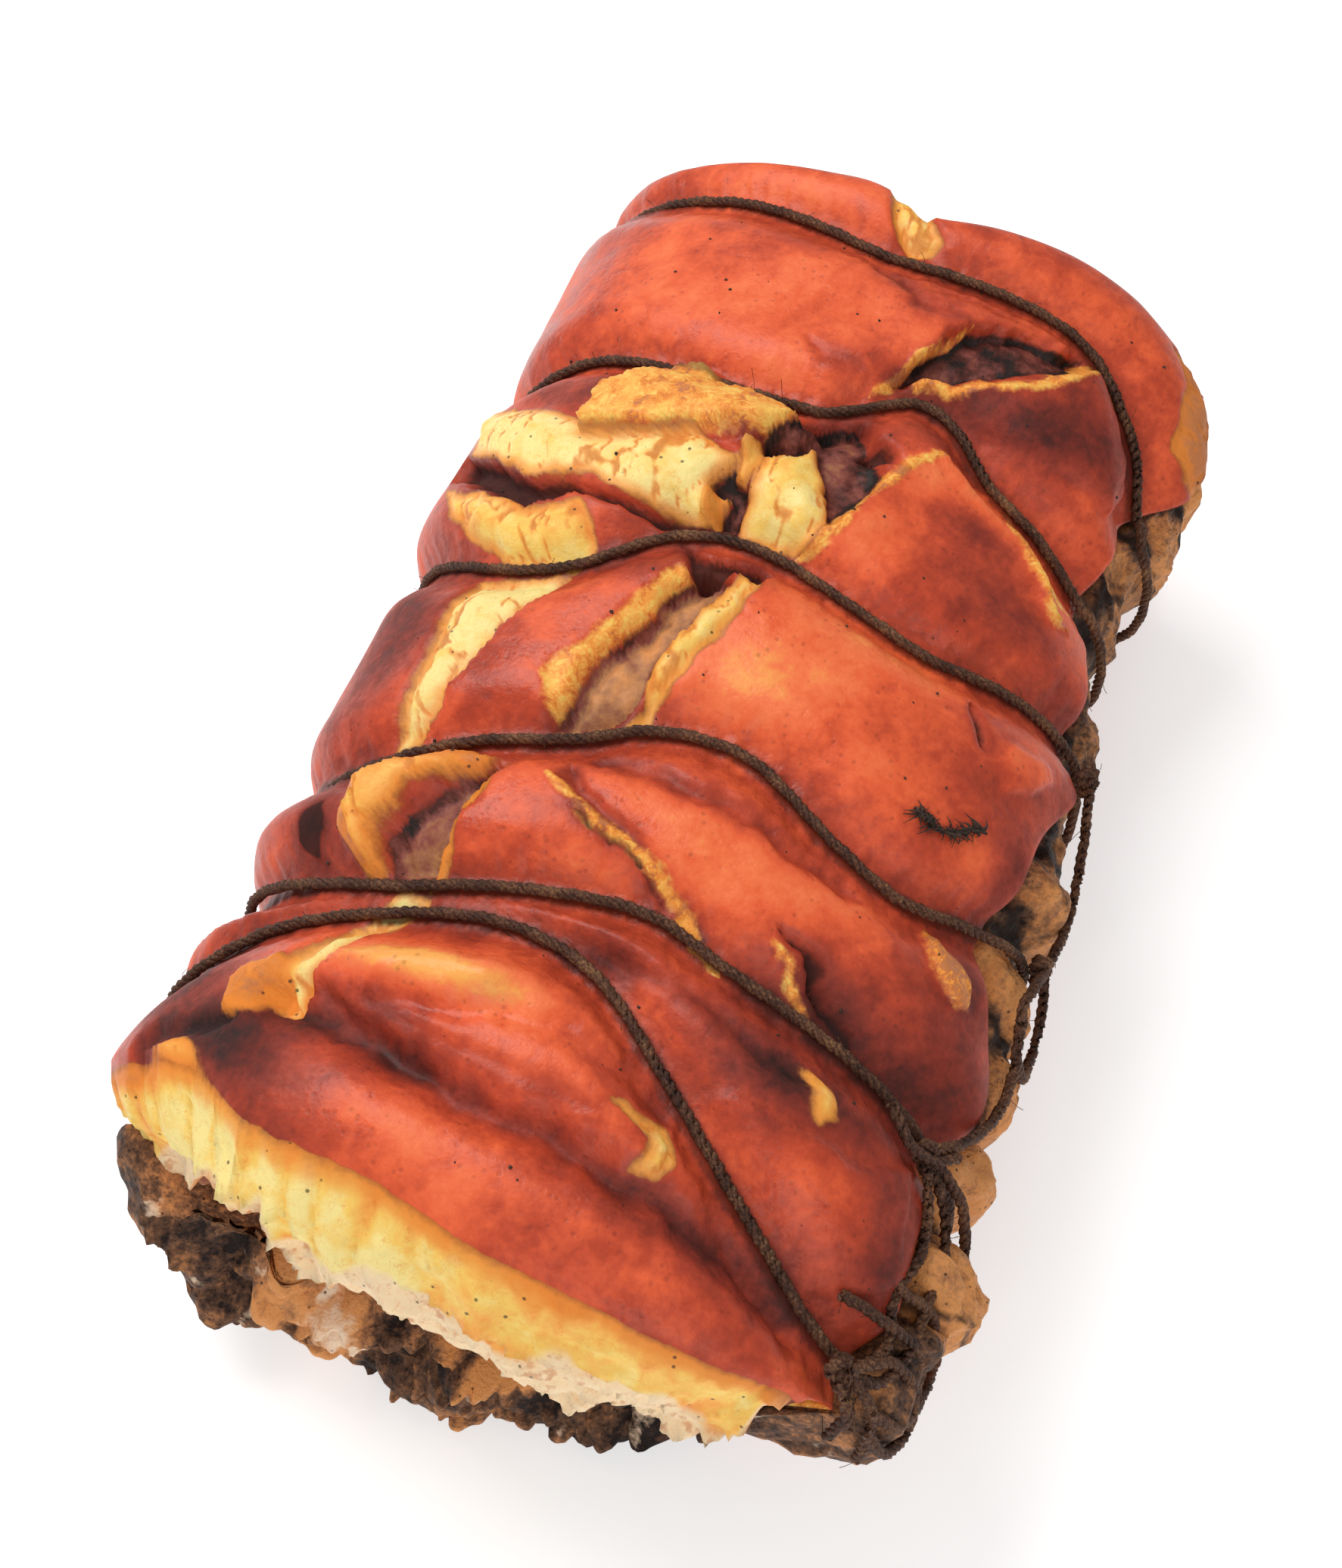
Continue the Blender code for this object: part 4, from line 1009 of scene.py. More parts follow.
def joined(first: Sequence[int], first_at: Array, second: Sequence[int], second_at: Array) -> list[tuple]:
    """Triangles between two rows that need not match in number.

    Args:
        first: Vertex numbers of one row.
        first_at: Their stations, rising.
        second: Vertex numbers of the other row.
        second_at: Their stations, rising.

    Returns:
        Corner numbers of each triangle.
    """
    faces = []
    i = 0
    k = 0
    while i < len(first) - 1 or k < len(second) - 1:
        step_first = k == len(second) - 1
        if i < len(first) - 1 and k < len(second) - 1:
            step_first = first_at[i + 1] < second_at[k + 1]
        if step_first:
            faces.append((first[i], first[i + 1], second[k]))
            i += 1
        else:
            faces.append((first[i], second[k + 1], second[k]))
            k += 1
    return faces


@dataclass
class Wrap:
    """The rind with its fat, open along the seam."""

    step_seen: float = 1.15
    step_hidden: float = 4.0
    rows: int = 282
    collar_rows: int = 34
    far_rows: int = 10
    inner_rows: int = 24
    lip_shares: tuple[float, ...] = (0.02, 0.05, 0.10, 0.18, 0.30, 0.46, 0.66, 0.88)
    fine_until: float = -124.0
    fat_within: float = 9.0
    pillow_length: float = 12.0
    pillow_height: float = 2.8
    leaf_length: float = 9.0
    leaf_height: float = 3.4
    swelling: Pairs = ((0.0, 0.1), (0.06, 0.38), (0.2, 0.74), (0.4, 0.96), (0.62, 1.0), (0.8, 0.82),
                       (0.93, 0.42), (1.0, 0.0))
    elsewhere: dict[str, float] = field(default_factory=lambda: {
        "meat": -9.0, "gold": -9.0, "char": -9.0, "twine": 30.0})
    far_swelling: Pairs = ((0.0, 1.0), (0.18, 3.5), (0.5, 5.0), (0.8, 3.5), (1.0, 0.0))
    fat_line: Pairs = ((-110, 40), (-92, 44), (-74, 50), (-60, 84), (-48, 93), (-38, 94), (-33, 84),
                       (-30, 76), (-21, 80), (-17, 70), (-11, 61), (-3, 53), (2, 48), (11, 53), (19, 50),
                       (30, 54), (38, 60), (44, 50), (62, 60), (74, 84), (88, 88))

    def angles(self) -> Array:
        """Angles of the columns, from the seam's top over the roll and under it.

        Returns:
            Degrees, falling.
        """
        start = float(FORM.girth(FORM.seam_top))
        turn = self.fine_until
        full = 2.0 * float(FORM.girths()[1][-1])
        end = float(FORM.girth(FORM.seam_bottom)) - full
        seen = np.linspace(start, turn, round((start - turn) / self.step_seen) + 1)
        hidden = np.linspace(turn, end, round((turn - end) / self.step_hidden) + 1)[1:]
        return FORM.angle_at(np.concatenate((seen, hidden)))

    def fat_waves(self, flat: Array, q: Array, under: Array, above: Array) -> tuple[Array, Array]:
        """Pillows on the left of the collar's fat, leaves on its right, and lumps low down.

        Args:
            flat: Points of the collar.
            q: Their ways round the roll.
            under: Their depths under the rind.
            above: Their heights over the ragged lower edge of the fat.

        Returns:
            How far each point stands out, and the pillows from 0 to 1.
        """
        strip = np.stack((q, under * 0.22, np.zeros(len(q))), -1)
        right = eased((flat[:, 0] + 20.0) / 30.0)
        leaning = q + 0.35 * under + 8.0 * GRAIN.rough(strip + 50.0, 30.0, 3)
        pillow = 1.0 - np.abs(np.sin(np.pi * leaning / self.pillow_length)) ** 0.5
        ridges = (1.0 - right) * self.pillow_height * pillow * bell((under - 10.0) / 9.0)
        ridges = (ridges + np.abs(GRAIN.rough(strip, 17.0, 2))) * eased((above - 3.0) / 12.0)
        lumps = 5.5 * GRAIN.rough(flat + 410.0, 9.0, 2) * (1.0 - 0.85 * eased(above / 18.0))
        furrow = bell(GRAIN.rough(flat + 470.0, 9.0, 2) / 0.10)
        lumps -= 2.4 * furrow * (1.0 - 0.7 * eased(above / 20.0))
        wave = GRAIN.rough(np.stack((q, under * 0.5, q * 0.0), -1), 24.0, 2)
        leaf = np.mod((under + 3.5 * wave) / self.leaf_length, 1.0) - 0.5
        leaves = (0.3 + right) * leaf * self.leaf_height * eased((under - 9.0) / 6.0)
        fine = 0.5 * GRAIN.rough(flat, 5.0, 3)
        lip = 2.5 * bell((above - 2.5) / 5.0)
        return ridges + lumps - leaves - fine - lip, pillow * (1.0 - right)

    def collar(self, angle: Array, outer: Array) -> tuple[Array, Array, dict[str, Array]]:
        """The fat that swells out past the near rim.

        Args:
            angle: Angles of the columns.
            outer: Points of the near rim.

        Returns:
            Points from the hollow out to the rim, their share of the way, and their layers with the
            distance "above" the ragged lower edge of the fat.
        """
        rim = outer[:, 1]
        inner = FORM.inside(angle, rim)
        swell = FORM.along(FORM.collar, angle)
        shares = np.linspace(0.0, 1.0, self.collar_rows + 1)[:-1]
        out = through(self.swelling, shares)
        lump = 1.0 + 0.12 * np.sin(np.radians(angle)[:, None] * 9.0 + shares[None, :] * 7.0)
        points = inner[:, None, :] + (outer - inner)[:, None, :] * shares[None, :, None]
        points[:, :, 1] = rim[:, None] - swell[:, None] * out[None, :] * lump
        flat = points.reshape(-1, 3)
        level = through(self.fat_line, flat[:, 0]) + 4.5 * GRAIN.rough(flat * (1.0, 0.2, 1.0), 13.0, 2)
        above = flat[:, 2] - level
        thick = np.linalg.norm(outer - inner, axis=1)
        under = ((1.0 - shares)[None, :] * thick[:, None]).ravel()
        q = np.repeat(FORM.girth(angle), len(shares))
        fade = eased(under / 4.0) * eased((swell.repeat(len(shares)) - 2.0) / 4.0)
        fatty = eased(above / 5.0 + 0.5)
        stands, pillow = self.fat_waves(flat, q, under, above)
        flat[:, 1] += fade * fatty * stands
        cut = NearCut().measure(flat)
        flat[:, 1] += fade * (1.0 - fatty) * (6.0 - 0.8 * cut["out"])
        pale = eased((under - 15.0) / 9.0 + 1.2 * GRAIN.rough(flat, 16.0, 2)) * 0.9
        pale = np.where(above > 0.0, np.maximum(pale, eased((7.0 - above) / 6.0)), cut["pale"])
        toast = 0.02 + 0.48 * eased((flat[:, 0] + 30.0) / 60.0) + 0.5 * bell(under / 4.5) + 0.45 * pillow
        toast += 0.4 * GRAIN.rough(flat + 77.0, 22.0, 2) + 0.40 * eased((-flat[:, 0] - 66.0) / 14.0)
        layers = {"toast": toast, "above": above, "fatty": cut["fatty"], "cave": cut["cave"], "pale": pale}
        shape = (len(angle), len(shares))
        return flat.reshape(points.shape), shares, {key: layers[key].reshape(shape) for key in layers}

    def build(self) -> bpy.types.Object:
        """Makes the wrap's mesh with its layers.

        Returns:
            The object, without its finish.
        """
        angle = self.angles()
        count = len(angle)
        near = FORM.along(FORM.near_rim, angle)
        far = FORM.along(FORM.far_rim, angle)
        share = np.linspace(0.0, 1.0, self.rows)
        y = near[:, None] + (far - near)[:, None] * share
        wide = np.repeat(angle[:, None], self.rows, 1)
        found = Relief(wide.ravel(), y.ravel()).measure()
        outer = FORM.outside(wide.ravel(), y.ravel(), found["height"]).reshape(count, self.rows, 3)
        collar, shares, cut = self.collar(angle, outer[:, 0])
        above = cut["above"]
        far_shares = np.linspace(1.0, 0.02, self.far_rows + 1)[1:]
        inner_far = FORM.inside(angle, far)
        face = inner_far[:, None, :] + (outer[:, -1] - inner_far)[:, None, :] * far_shares[None, :, None]
        bulge = through(self.far_swelling, far_shares)
        face[:, :, 1] = far[:, None] + bulge + 0.8 * np.sin(np.radians(angle) * 6.0)[:, None]
        flat = face.reshape(-1, 3)
        free = np.tile(np.minimum(1.0, 4.0 * (1.0 - far_shares)), count)
        flat[:, 1] += free * 1.4 * GRAIN.rough(flat, 11.0, 3)
        sheet = np.concatenate((collar, outer, flat.reshape(face.shape)), axis=1)
        shape = (count, self.rows)
        plain = {key: found[key].reshape(shape) for key in found if key != "height"}
        thick = np.linalg.norm(outer[:, 0] - FORM.inside(angle, near), axis=1)
        under_near = (1.0 - shares)[None, :] * thick[:, None]
        under_far = (1.0 - far_shares)[None, :] * thick[:, None]
        near_end = {"fat": np.minimum(under_near - 1.6, above), "meat": np.minimum(under_near - 4.0, -above),
                    "tone": np.repeat(plain["tone"][:, :1], self.collar_rows, 1), **cut}
        far_end = {"fat": under_far - 1.5, "gold": 4.0 - under_far, "fatty": under_far * 0.0 + 0.2,
                   "toast": under_far * 0.0 + 0.7}
        del near_end["above"]
        layers = {}
        for key in (*plain, "pale", "cave"):
            rest = self.elsewhere.get(key, 0.0)
            layers[key] = np.concatenate((near_end.get(key, np.full_like(under_near, rest)),
                                          plain.get(key, np.zeros(shape)),
                                          far_end.get(key, np.full_like(under_far, rest))), 1)
        return self.assemble(angle, sheet, layers)

    def assemble(self, angle: Array, sheet: Array, layers: dict[str, Array]) -> bpy.types.Object:
        """Closes the sheet with the lips of the seam and the hollow.

        Args:
            angle: Angles of the columns.
            sheet: Points of the outside, column by column.
            layers: Their numbers.

        Returns:
            The object.
        """
        sheets = []
        sides: list[dict[str, Array]] = []
        for side in (0, -1):
            edge = sheet[side]
            floor = FORM.inside(np.full(len(edge), angle[side]), edge[:, 1])
            shares = np.array(self.lip_shares if side else self.lip_shares[::-1])[:, None]
            down = np.linalg.norm(edge - floor, axis=1) * shares
            sheets.append(edge + (floor - edge) * shares[:, :, None])
            lip = {key: np.repeat(layers[key][side][None, :], len(shares), 0) for key in layers}
            lip["gold"] = np.maximum(lip["gold"], 5.0 - np.abs(down - 6.0))
            lip["fat"] = np.maximum(lip["fat"], down - 9.0)
            sides.append(lip)
        sheet = np.concatenate((sheets[0], sheet, sheets[1]))
        layers = {key: np.concatenate((sides[0][key], layers[key], sides[1][key])) for key in layers}
        lips = len(self.lip_shares)
        numbers = np.arange(sheet.shape[0] * sheet.shape[1]).reshape(sheet.shape[:2])
        faces = strip_faces(numbers)
        stations = sheet[lips:-lips, (0, -1), 1]
        share = np.linspace(0.0, 1.0, self.inner_rows)
        y = stations[:, :1] + 1.0 + (stations[:, 1:] - stations[:, :1] - 2.0) * share
        inner = FORM.inside(np.repeat(angle[:, None], self.inner_rows, 1).ravel(), y.ravel())
        base = numbers.size
        within = base + np.arange(len(inner)).reshape(len(angle), self.inner_rows)
        faces += [face[::-1] for face in strip_faces(within)]
        for row in (0, -1):
            a = numbers[lips:-lips, row]
            b = within[:, row]
            quads = np.stack((a[:-1], a[1:], b[1:], b[:-1]), -1).tolist()
            faces += quads if row == 0 else [quad[::-1] for quad in quads]
        for side in (0, -1):
            at = np.maximum.accumulate(sheet[side][:, 1])
            tris = joined(numbers[side], at, within[side], y[side])
            faces += [tri[::-1] for tri in tris] if side == 0 else tris
            ends = numbers[:lips + 1] if side == 0 else numbers[-lips - 1:]
            for row in (0, -1):
                chain = ends[:, row]
                fan = [(chain[k], chain[k + 1], within[side, row]) for k in range(len(chain) - 1)]
                faces += fan if row == 0 else [tri[::-1] for tri in fan]
        points = np.concatenate((sheet.reshape(-1, 3), inner))
        filled = {}
        for key, values in layers.items():
            rest = self.fat_within if key == "fat" else self.elsewhere.get(key, 0.0)
            filled[key] = np.concatenate((values.ravel(), np.full(len(inner), rest)))
        return add_mesh("rind_and_fat_skin", points, faces, filled)


# Shader writing


class Signal:
    """One output of a shader node; arithmetic on it adds Math nodes."""

    def __init__(self, craft: "Craft", socket: bpy.types.NodeSocket) -> None:
        """Wraps an output of a node of a material."""
        self.craft = craft
        self.socket = socket

    def _math(self, operation: str, *values: "Signal | float") -> "Signal":
        """Adds one Math node."""
        return self.craft.node("ShaderNodeMath", {"operation": operation}, dict(enumerate(values)))

    def __add__(self, other: "Signal | float") -> "Signal":
        """Sum."""
        return self._math("ADD", self, other)

    def __radd__(self, other: float) -> "Signal":
        """Sum."""
        return self._math("ADD", other, self)

    def __sub__(self, other: "Signal | float") -> "Signal":
        """Difference."""
        return self._math("SUBTRACT", self, other)

    def __rsub__(self, other: float) -> "Signal":
        """Difference."""
        return self._math("SUBTRACT", other, self)

    def __mul__(self, other: "Signal | float") -> "Signal":
        """Product."""
        return self._math("MULTIPLY", self, other)

    def __rmul__(self, other: float) -> "Signal":
        """Product."""
        return self._math("MULTIPLY", other, self)

    def high(self, other: "Signal | float") -> "Signal":
        """The larger of two."""
        return self._math("MAXIMUM", self, other)

    def between(self, start: float, end: float) -> "Signal":
        """Smooth step from 0 at the start to 1 at the end."""
        return self.craft.node("ShaderNodeMapRange", {"interpolation_type": "SMOOTHSTEP"},
                               {0: self, 1: start, 2: end, 3: 0.0, 4: 1.0})


class Craft:
    """A node material in the making."""

    def __init__(self, name: str) -> None:
        """Starts the material.

        Args:
            name: The finish's name.
        """
        self.material = bpy.data.materials.new(name)
        self.material.use_nodes = True
        self.tree = self.material.node_tree
        self.shader = self.tree.nodes["Principled BSDF"]
        self.where = self.node("ShaderNodeTexCoord", output="Object")

    def node(self, kind: str, settings: dict | None = None, sockets: dict | None = None,
             output: int | str = 0) -> Signal:
        """Adds a node.

        Args:
            kind: Its type.
            settings: Its settings; "stops" are a colour ramp's (position, colour) pairs.
            sockets: Values or signals of its inputs by number or name.
            output: Which output is wanted.

        Returns:
            The output.
        """
        made = self.tree.nodes.new(kind)
        for key, value in (settings or {}).items():
            if key == "stops":
                ramp = made.color_ramp
                while len(ramp.elements) < len(value):
                    ramp.elements.new(0.5)
                for element, (position, colour) in zip(ramp.elements, value):
                    element.position = position
                    element.color = (*colour, 1.0)
            else:
                setattr(made, key, value)
        for key, value in (sockets or {}).items():
            self.feed(made.inputs[key], value)
        return Signal(self, made.outputs[output])

    def feed(self, socket: bpy.types.NodeSocket, value: "Signal | float | tuple") -> None:
        """Links a signal to an input or sets its value.

        Args:
            socket: The input.
            value: What goes in.
        """
        if isinstance(value, Signal):
            self.tree.links.new(value.socket, socket)
        else:
            socket.default_value = value

    def layer(self, name: str) -> Signal:
        """A number kept on the mesh."""
        return self.node("ShaderNodeAttribute", {"attribute_name": name}, output="Fac")

    def noise(self, size: float, detail: float = 2.0, roughness: float = 0.5, stretch: float = 0.0) -> Signal:
        """Mottling round 0.5; size in millimetres, detail in octaves, stretch bends its spots."""
        return self.node("ShaderNodeTexNoise", {"noise_dimensions": "3D"},
                         {"Vector": self.where, "Scale": 1000.0 / size, "Detail": detail,
                          "Roughness": roughness, "Distortion": stretch}, "Fac")

    def cells(self, size: float) -> Signal:
        """Distance to the nearest centre in a pattern of cells of a size in millimetres."""
        return self.node("ShaderNodeTexVoronoi", {}, {"Vector": self.where, "Scale": 1000.0 / size},
                         "Distance")

    def ramp(self, signal: Signal, stops: "Stops") -> Signal:
        """Colours through a ramp."""
        return self.node("ShaderNodeValToRGB", {"stops": stops}, {0: signal}, "Color")

    def over(self, under: Signal | tuple, above: Signal | tuple, amount: Signal | float) -> Signal:
        """One colour laid over another, by an amount from 0 to 1."""
        pair = [c if isinstance(c, Signal) else (*c, 1.0) for c in (under, above)]
        return self.node("ShaderNodeMix", {"data_type": "RGBA"}, {0: amount, 6: pair[0], 7: pair[1]}, 2)

    def bump(self, height: Signal, distance: float, strength: float = 1.0) -> Signal:
        """Normal of fine relief; distance is its full height in millimetres."""
        return self.node("ShaderNodeBump", {}, {"Strength": strength, "Distance": distance * MM,
                                                "Height": height}, "Normal")

    def done(self, colour: Signal, roughness: Signal | float, normal: Signal | None = None,
             **fixed: float | tuple) -> bpy.types.Material:
        """Feeds the shader.

        Args:
            colour: Base colour.
            roughness: Roughness.
            normal: Normal, if any.
            **fixed: Constants of other sockets, with _ for the spaces in their names.

        Returns:
            The material.
        """
        self.feed(self.shader.inputs["Base Color"], colour)
        self.feed(self.shader.inputs["Roughness"], roughness)
        if normal is not None:
            self.feed(self.shader.inputs["Normal"], normal)
        for key, value in fixed.items():
            self.shader.inputs[key.replace("_", " ")].default_value = value
        return self.material


# Finishes

Colour = tuple[float, float, float]
Stops = Sequence[tuple[float, Colour]]


@dataclass(frozen=True)
class MeatTones:
    """Colours of roasted meat and the fat in it."""

    black: Colour = (0.018, 0.010, 0.008)
    dark: Colour = (0.075, 0.036, 0.022)
    brown: Colour = (0.17, 0.080, 0.042)
    tan: Colour = (0.42, 0.18, 0.075)
    golden: Colour = (0.76, 0.32, 0.105)
    pale: Colour = (0.92, 0.68, 0.48)
    contrast: float = 1.0

    def paint(self, craft: "Craft", fine: Signal, middle: Signal) -> Signal:
        """Colours meat from the mesh's layers.

        Args:
            craft: The material.
            fine: Fine mottling.
            middle: Broader mottling.

        Returns:
            The colour.
        """
        fatty = craft.layer("fatty") + ((middle - 0.5) * 0.9 + (fine - 0.5) * 1.1) * self.contrast
        meat = craft.ramp(fatty, ((0.02, self.black), (0.16, self.dark), (0.36, self.brown), (0.56, self.tan),
                                  (0.86, self.golden)))
        pale = craft.layer("pale") + (middle - 0.5) * 0.9 + (fine - 0.5) * 0.3
        meat = craft.over(meat, self.pale, pale.between(0.35, 0.75))
        # Black over the hollows and crevices: painted shade.
        cave = (craft.layer("cave") + (fine - 0.5) * 0.4).between(0.25, 0.75)
        return craft.over(meat, self.black, cave * 0.92)


@dataclass(frozen=True)
class RindFinish:
    """Roasted rind with its bare fat, torn golden edges, meat and charring, and painted shade in its folds,
    grooves and holes.
    """

    blackened: Colour = (0.030, 0.009, 0.007)
    mahogany: Colour = (0.120, 0.018, 0.012)
    brown_red: Colour = (0.30, 0.036, 0.018)
    orange_red: Colour = (0.55, 0.068, 0.027)
    orange: Colour = (0.84, 0.125, 0.040)
    salmon: Colour = (0.96, 0.205, 0.070)
    amber: Colour = (0.98, 0.42, 0.090)
    cream: Colour = (0.99, 0.80, 0.30)
    straw: Colour = (0.98, 0.62, 0.13)
    ivory: Colour = (0.95, 0.72, 0.44)
    honey: Colour = (0.96, 0.41, 0.075)
    toasted: Colour = (0.36, 0.095, 0.018)
    crumb: Colour = (0.84, 0.25, 0.032)
    crust: Colour = (0.58, 0.20, 0.065)
    # Painted shade for the groove under the twine.
    twine_groove_shade: Colour = (0.040, 0.014, 0.010)
    # Soot, and the black of painted shade in holes and cracks.
    soot_and_shade: Colour = (0.016, 0.009, 0.008)
    gap_meat: MeatTones = MeatTones(dark=(0.090, 0.020, 0.014), brown=(0.26, 0.070, 0.050), contrast=0.45)
    fine_size: float = 2.2
    middle_size: float = 7.0
    broad_size: float = 24.0
    pore_size: float = 2.6
    vein_size: float = 6.0
    crackle_size: float = 3.4
    speck_size: float = 4.2
    roughness: float = 0.36
    shine: float = 0.28

    def rind(self, craft: Craft, tone: Signal, pores: Signal) -> Signal:
        """Colour of the browned rind.

        Args:
            craft: The material.
            tone: 0 where it is darkest, from blackening and from painted shade, 1 where it is palest, painted
                highlights included.
            pores: 1 in a pore.

        Returns:
            The colour.
        """
        rind = craft.ramp(tone * 0.82, ((0.0, self.blackened), (0.15, self.mahogany), (0.32, self.brown_red),
                                        (0.49, self.orange_red), (0.64, self.orange), (0.80, self.salmon),
                                        (1.0, self.amber)))
        return craft.over(rind, self.mahogany, pores * craft.noise(9.0).between(0.45, 0.62) * 0.30)

    def fat(self, craft: Craft, fine: Signal, middle: Signal) -> Signal:
        """Colour of bare fat, from cream to toasted, with ivory where it lies deep.

        Args:
            craft: The material.
            fine: Fine mottling.
            middle: Broader mottling.

        Returns:
            The colour.
        """
        toast = craft.layer("toast") + (middle - 0.5) * 0.9 + (fine - 0.5) * 0.25
        fat = craft.ramp(toast * 0.8, ((0.06, self.cream), (0.28, self.straw), (0.48, self.honey),
                                       (0.70, self.crumb), (0.86, self.crust)))
        pale = (craft.layer("pale") + (middle - 0.5) * 0.6).between(0.2, 0.8)
        fat = craft.over(fat, self.ivory, pale)
        fat = craft.over(fat, self.crust, craft.noise(5.0, 3.0, 0.6).between(0.55, 0.68) * pale * 0.6)
        veins = craft.noise(self.vein_size, 2.0, 0.5, 2.5)
        fat = craft.over(fat, self.crumb, (0.5 - veins).high(veins - 0.5).between(0.018, 0.0) * 0.35)
        crease = craft.layer("crease") + (fine - 0.5) * 0.5
        fat = craft.over(fat, self.crumb, crease.between(0.25, 0.85) * 0.75)
        return craft.over(fat, self.toasted, crease.between(0.60, 1.10) * 0.4)

    def torn(self, craft: Craft, middle: Signal) -> Signal:
        """Colour of torn, golden rind.

        Args:
            craft: The material.
            middle: Broader mottling.

        Returns:
            The colour.
        """
        crackle = craft.noise(self.crackle_size, 3.0, 0.6, 1.5)
        crackle = (0.5 - crackle).high(crackle - 0.5) * 3.4 + (middle - 0.5) * 2.6 + 0.14
        crackle = crackle - (craft.layer("toast") - 0.3) * 0.7
        return craft.ramp(crackle, ((0.0, self.crust), (0.14, self.crumb), (0.46, self.honey),
                                    (1.0, self.straw)))

    def make(self) -> bpy.types.Material:
        """Builds the material.

        Returns:
            The finish of the wrap.
        """
        craft = Craft("browned_rind")
        fine = craft.noise(self.fine_size, 3.0, 0.6)
        middle = craft.noise(self.middle_size, 3.0, 0.55, 0.4)
        broad = craft.noise(self.broad_size, 2.0, 0.5)
        edge = (fine - 0.5) * 1.6 + (middle - 0.5) * 1.6
        twine, fat, meat = (craft.layer(name) for name in ("twine", "fat", "meat"))
        gold, char = (craft.layer(name) for name in ("gold", "char"))
        tone = craft.layer("tone") + 0.62 + (broad - 0.5) * 0.6 + (middle - 0.5) * 0.42 + (fine - 0.5) * 0.26
        # Darker towards the twine: painted shade in the grooves that it presses in.
        tone = tone - (twine + edge * 1.5).between(9.0, 2.0) * 0.09
        tone = tone - (meat.high(char) + edge).between(-5.0, -0.5) * 0.12
        pores = craft.cells(self.pore_size).between(0.32, 0.10)
        skin = self.rind(craft, tone, pores)
        skin = craft.over(skin, self.torn(craft, middle), (gold + edge * 1.4).between(-1.2, 0.8))
        skin = craft.over(skin, self.fat(craft, fine, middle), (fat + edge * 0.6).between(-0.3, 0.5))
        rim = fat + edge * 0.8
        skin = craft.over(skin, self.crumb, rim.between(4.0, 0.8) * rim.between(-0.3, 0.4) * 0.75)
        skin = craft.over(skin, self.toasted, rim.between(1.2, 0.0) * rim.between(-0.8, 0.0) * 0.6)
        gap = self.gap_meat.paint(craft, fine, middle)
        skin = craft.over(skin, gap, (meat + edge * 0.8).between(-0.3, 0.6))
        # Soot on the charring, and black in the holes, cracks and crevices as painted shade.
        skin = craft.over(skin, self.soot_and_shade, (char + edge).between(-0.6, 0.8) * 0.85)
        # Painted shade in the groove right under and beside the twine.
        skin = craft.over(skin, self.twine_groove_shade, (twine + edge).between(3.4, 1.4) * 0.6)
        specks = craft.cells(self.speck_size).between(0.14, 0.08) * craft.noise(31.0).between(0.44, 0.52)
        skin = craft.over(skin, self.soot_and_shade, specks * fat.between(-0.5, 0.5) * 0.75)
        rough = self.roughness + fat.high(meat).between(-0.2, 0.4) * 0.16 + gold.between(0.0, 0.6) * 0.2
        rough = rough + tone.between(0.62, 0.2) * 0.35 + char.between(-1.0, 0.5) * 0.4
        rough = rough + (broad - 0.5) * 0.6 + (middle - 0.5) * 0.45
        relief = fine * 0.55 + craft.noise(0.9, 2.0, 0.6) * 0.3 + middle * 0.8 - pores * 0.2
        return craft.done(skin, rough, craft.bump(relief, 0.5, 0.6), Specular_IOR_Level=self.shine)


@dataclass(frozen=True)
class MeatFinish:
    """Dark roasted meat with tan fat lobes."""

    tones: MeatTones = MeatTones()
    fine_size: float = 1.8
    middle_size: float = 6.0
    speck_size: float = 3.2
    shine: float = 0.16

    def make(self) -> bpy.types.Material:
        """Builds the material.

        Returns:
            The finish of the rolled meat.
        """
        craft = Craft("roasted_meat")
        fine = craft.noise(self.fine_size, 4.0, 0.65)
        middle = craft.noise(self.middle_size, 3.0, 0.6, 0.8)
        skin = self.tones.paint(craft, fine, middle)
        specks = craft.cells(self.speck_size).between(0.17, 0.09) * craft.noise(15.0).between(0.40, 0.50)
        skin = craft.over(skin, self.tones.black, specks * 0.8)
        relief = fine * 0.6 + middle * 0.9 + craft.noise(0.8, 2.0) * 0.2
        rough = 0.58 + (fine - 0.5) * 0.3
        return craft.done(skin, rough, craft.bump(relief, 1.3, 1.0), Specular_IOR_Level=self.shine)


@dataclass(frozen=True)
class TwineFinish:
    """Butcher's twine, soaked and charred."""

    black: Colour = (0.024, 0.011, 0.008)
    brown: Colour = (0.100, 0.042, 0.024)
    straw: Colour = (0.30, 0.15, 0.065)
    fibre_size: float = 0.7
    shine: float = 0.2

    def make(self) -> bpy.types.Material:
        """Builds the material.

        Returns:
            The finish of the twine.
        """
        craft = Craft("charred_twine")
        fine = craft.noise(self.fibre_size, 3.0, 0.6)
        middle = craft.noise(9.0, 2.0)
        mixed = fine * 0.6 + middle * 0.4
        colour = craft.ramp(mixed, ((0.36, self.black), (0.52, self.brown), (0.70, self.straw)))
        rough = 0.62 + (middle - 0.5) * 0.3
        return craft.done(colour, rough, craft.bump(fine, 0.25, 0.8), Specular_IOR_Level=self.shine)


@dataclass(frozen=True)
class SpeckFinish:
    """Cracked pepper and charred herb."""

    black: Colour = (0.012, 0.008, 0.006)
    brown: Colour = (0.075, 0.035, 0.018)

    def make(self) -> bpy.types.Material:
        """Builds the material.

        Returns:
            The finish of the seasoning.
        """
        craft = Craft("charred_seasoning")
        fine = craft.noise(0.9, 3.0, 0.6)
        return craft.done(craft.ramp(fine, ((0.4, self.black), (0.65, self.brown))), 0.7,
                          craft.bump(fine, 0.2, 0.7))


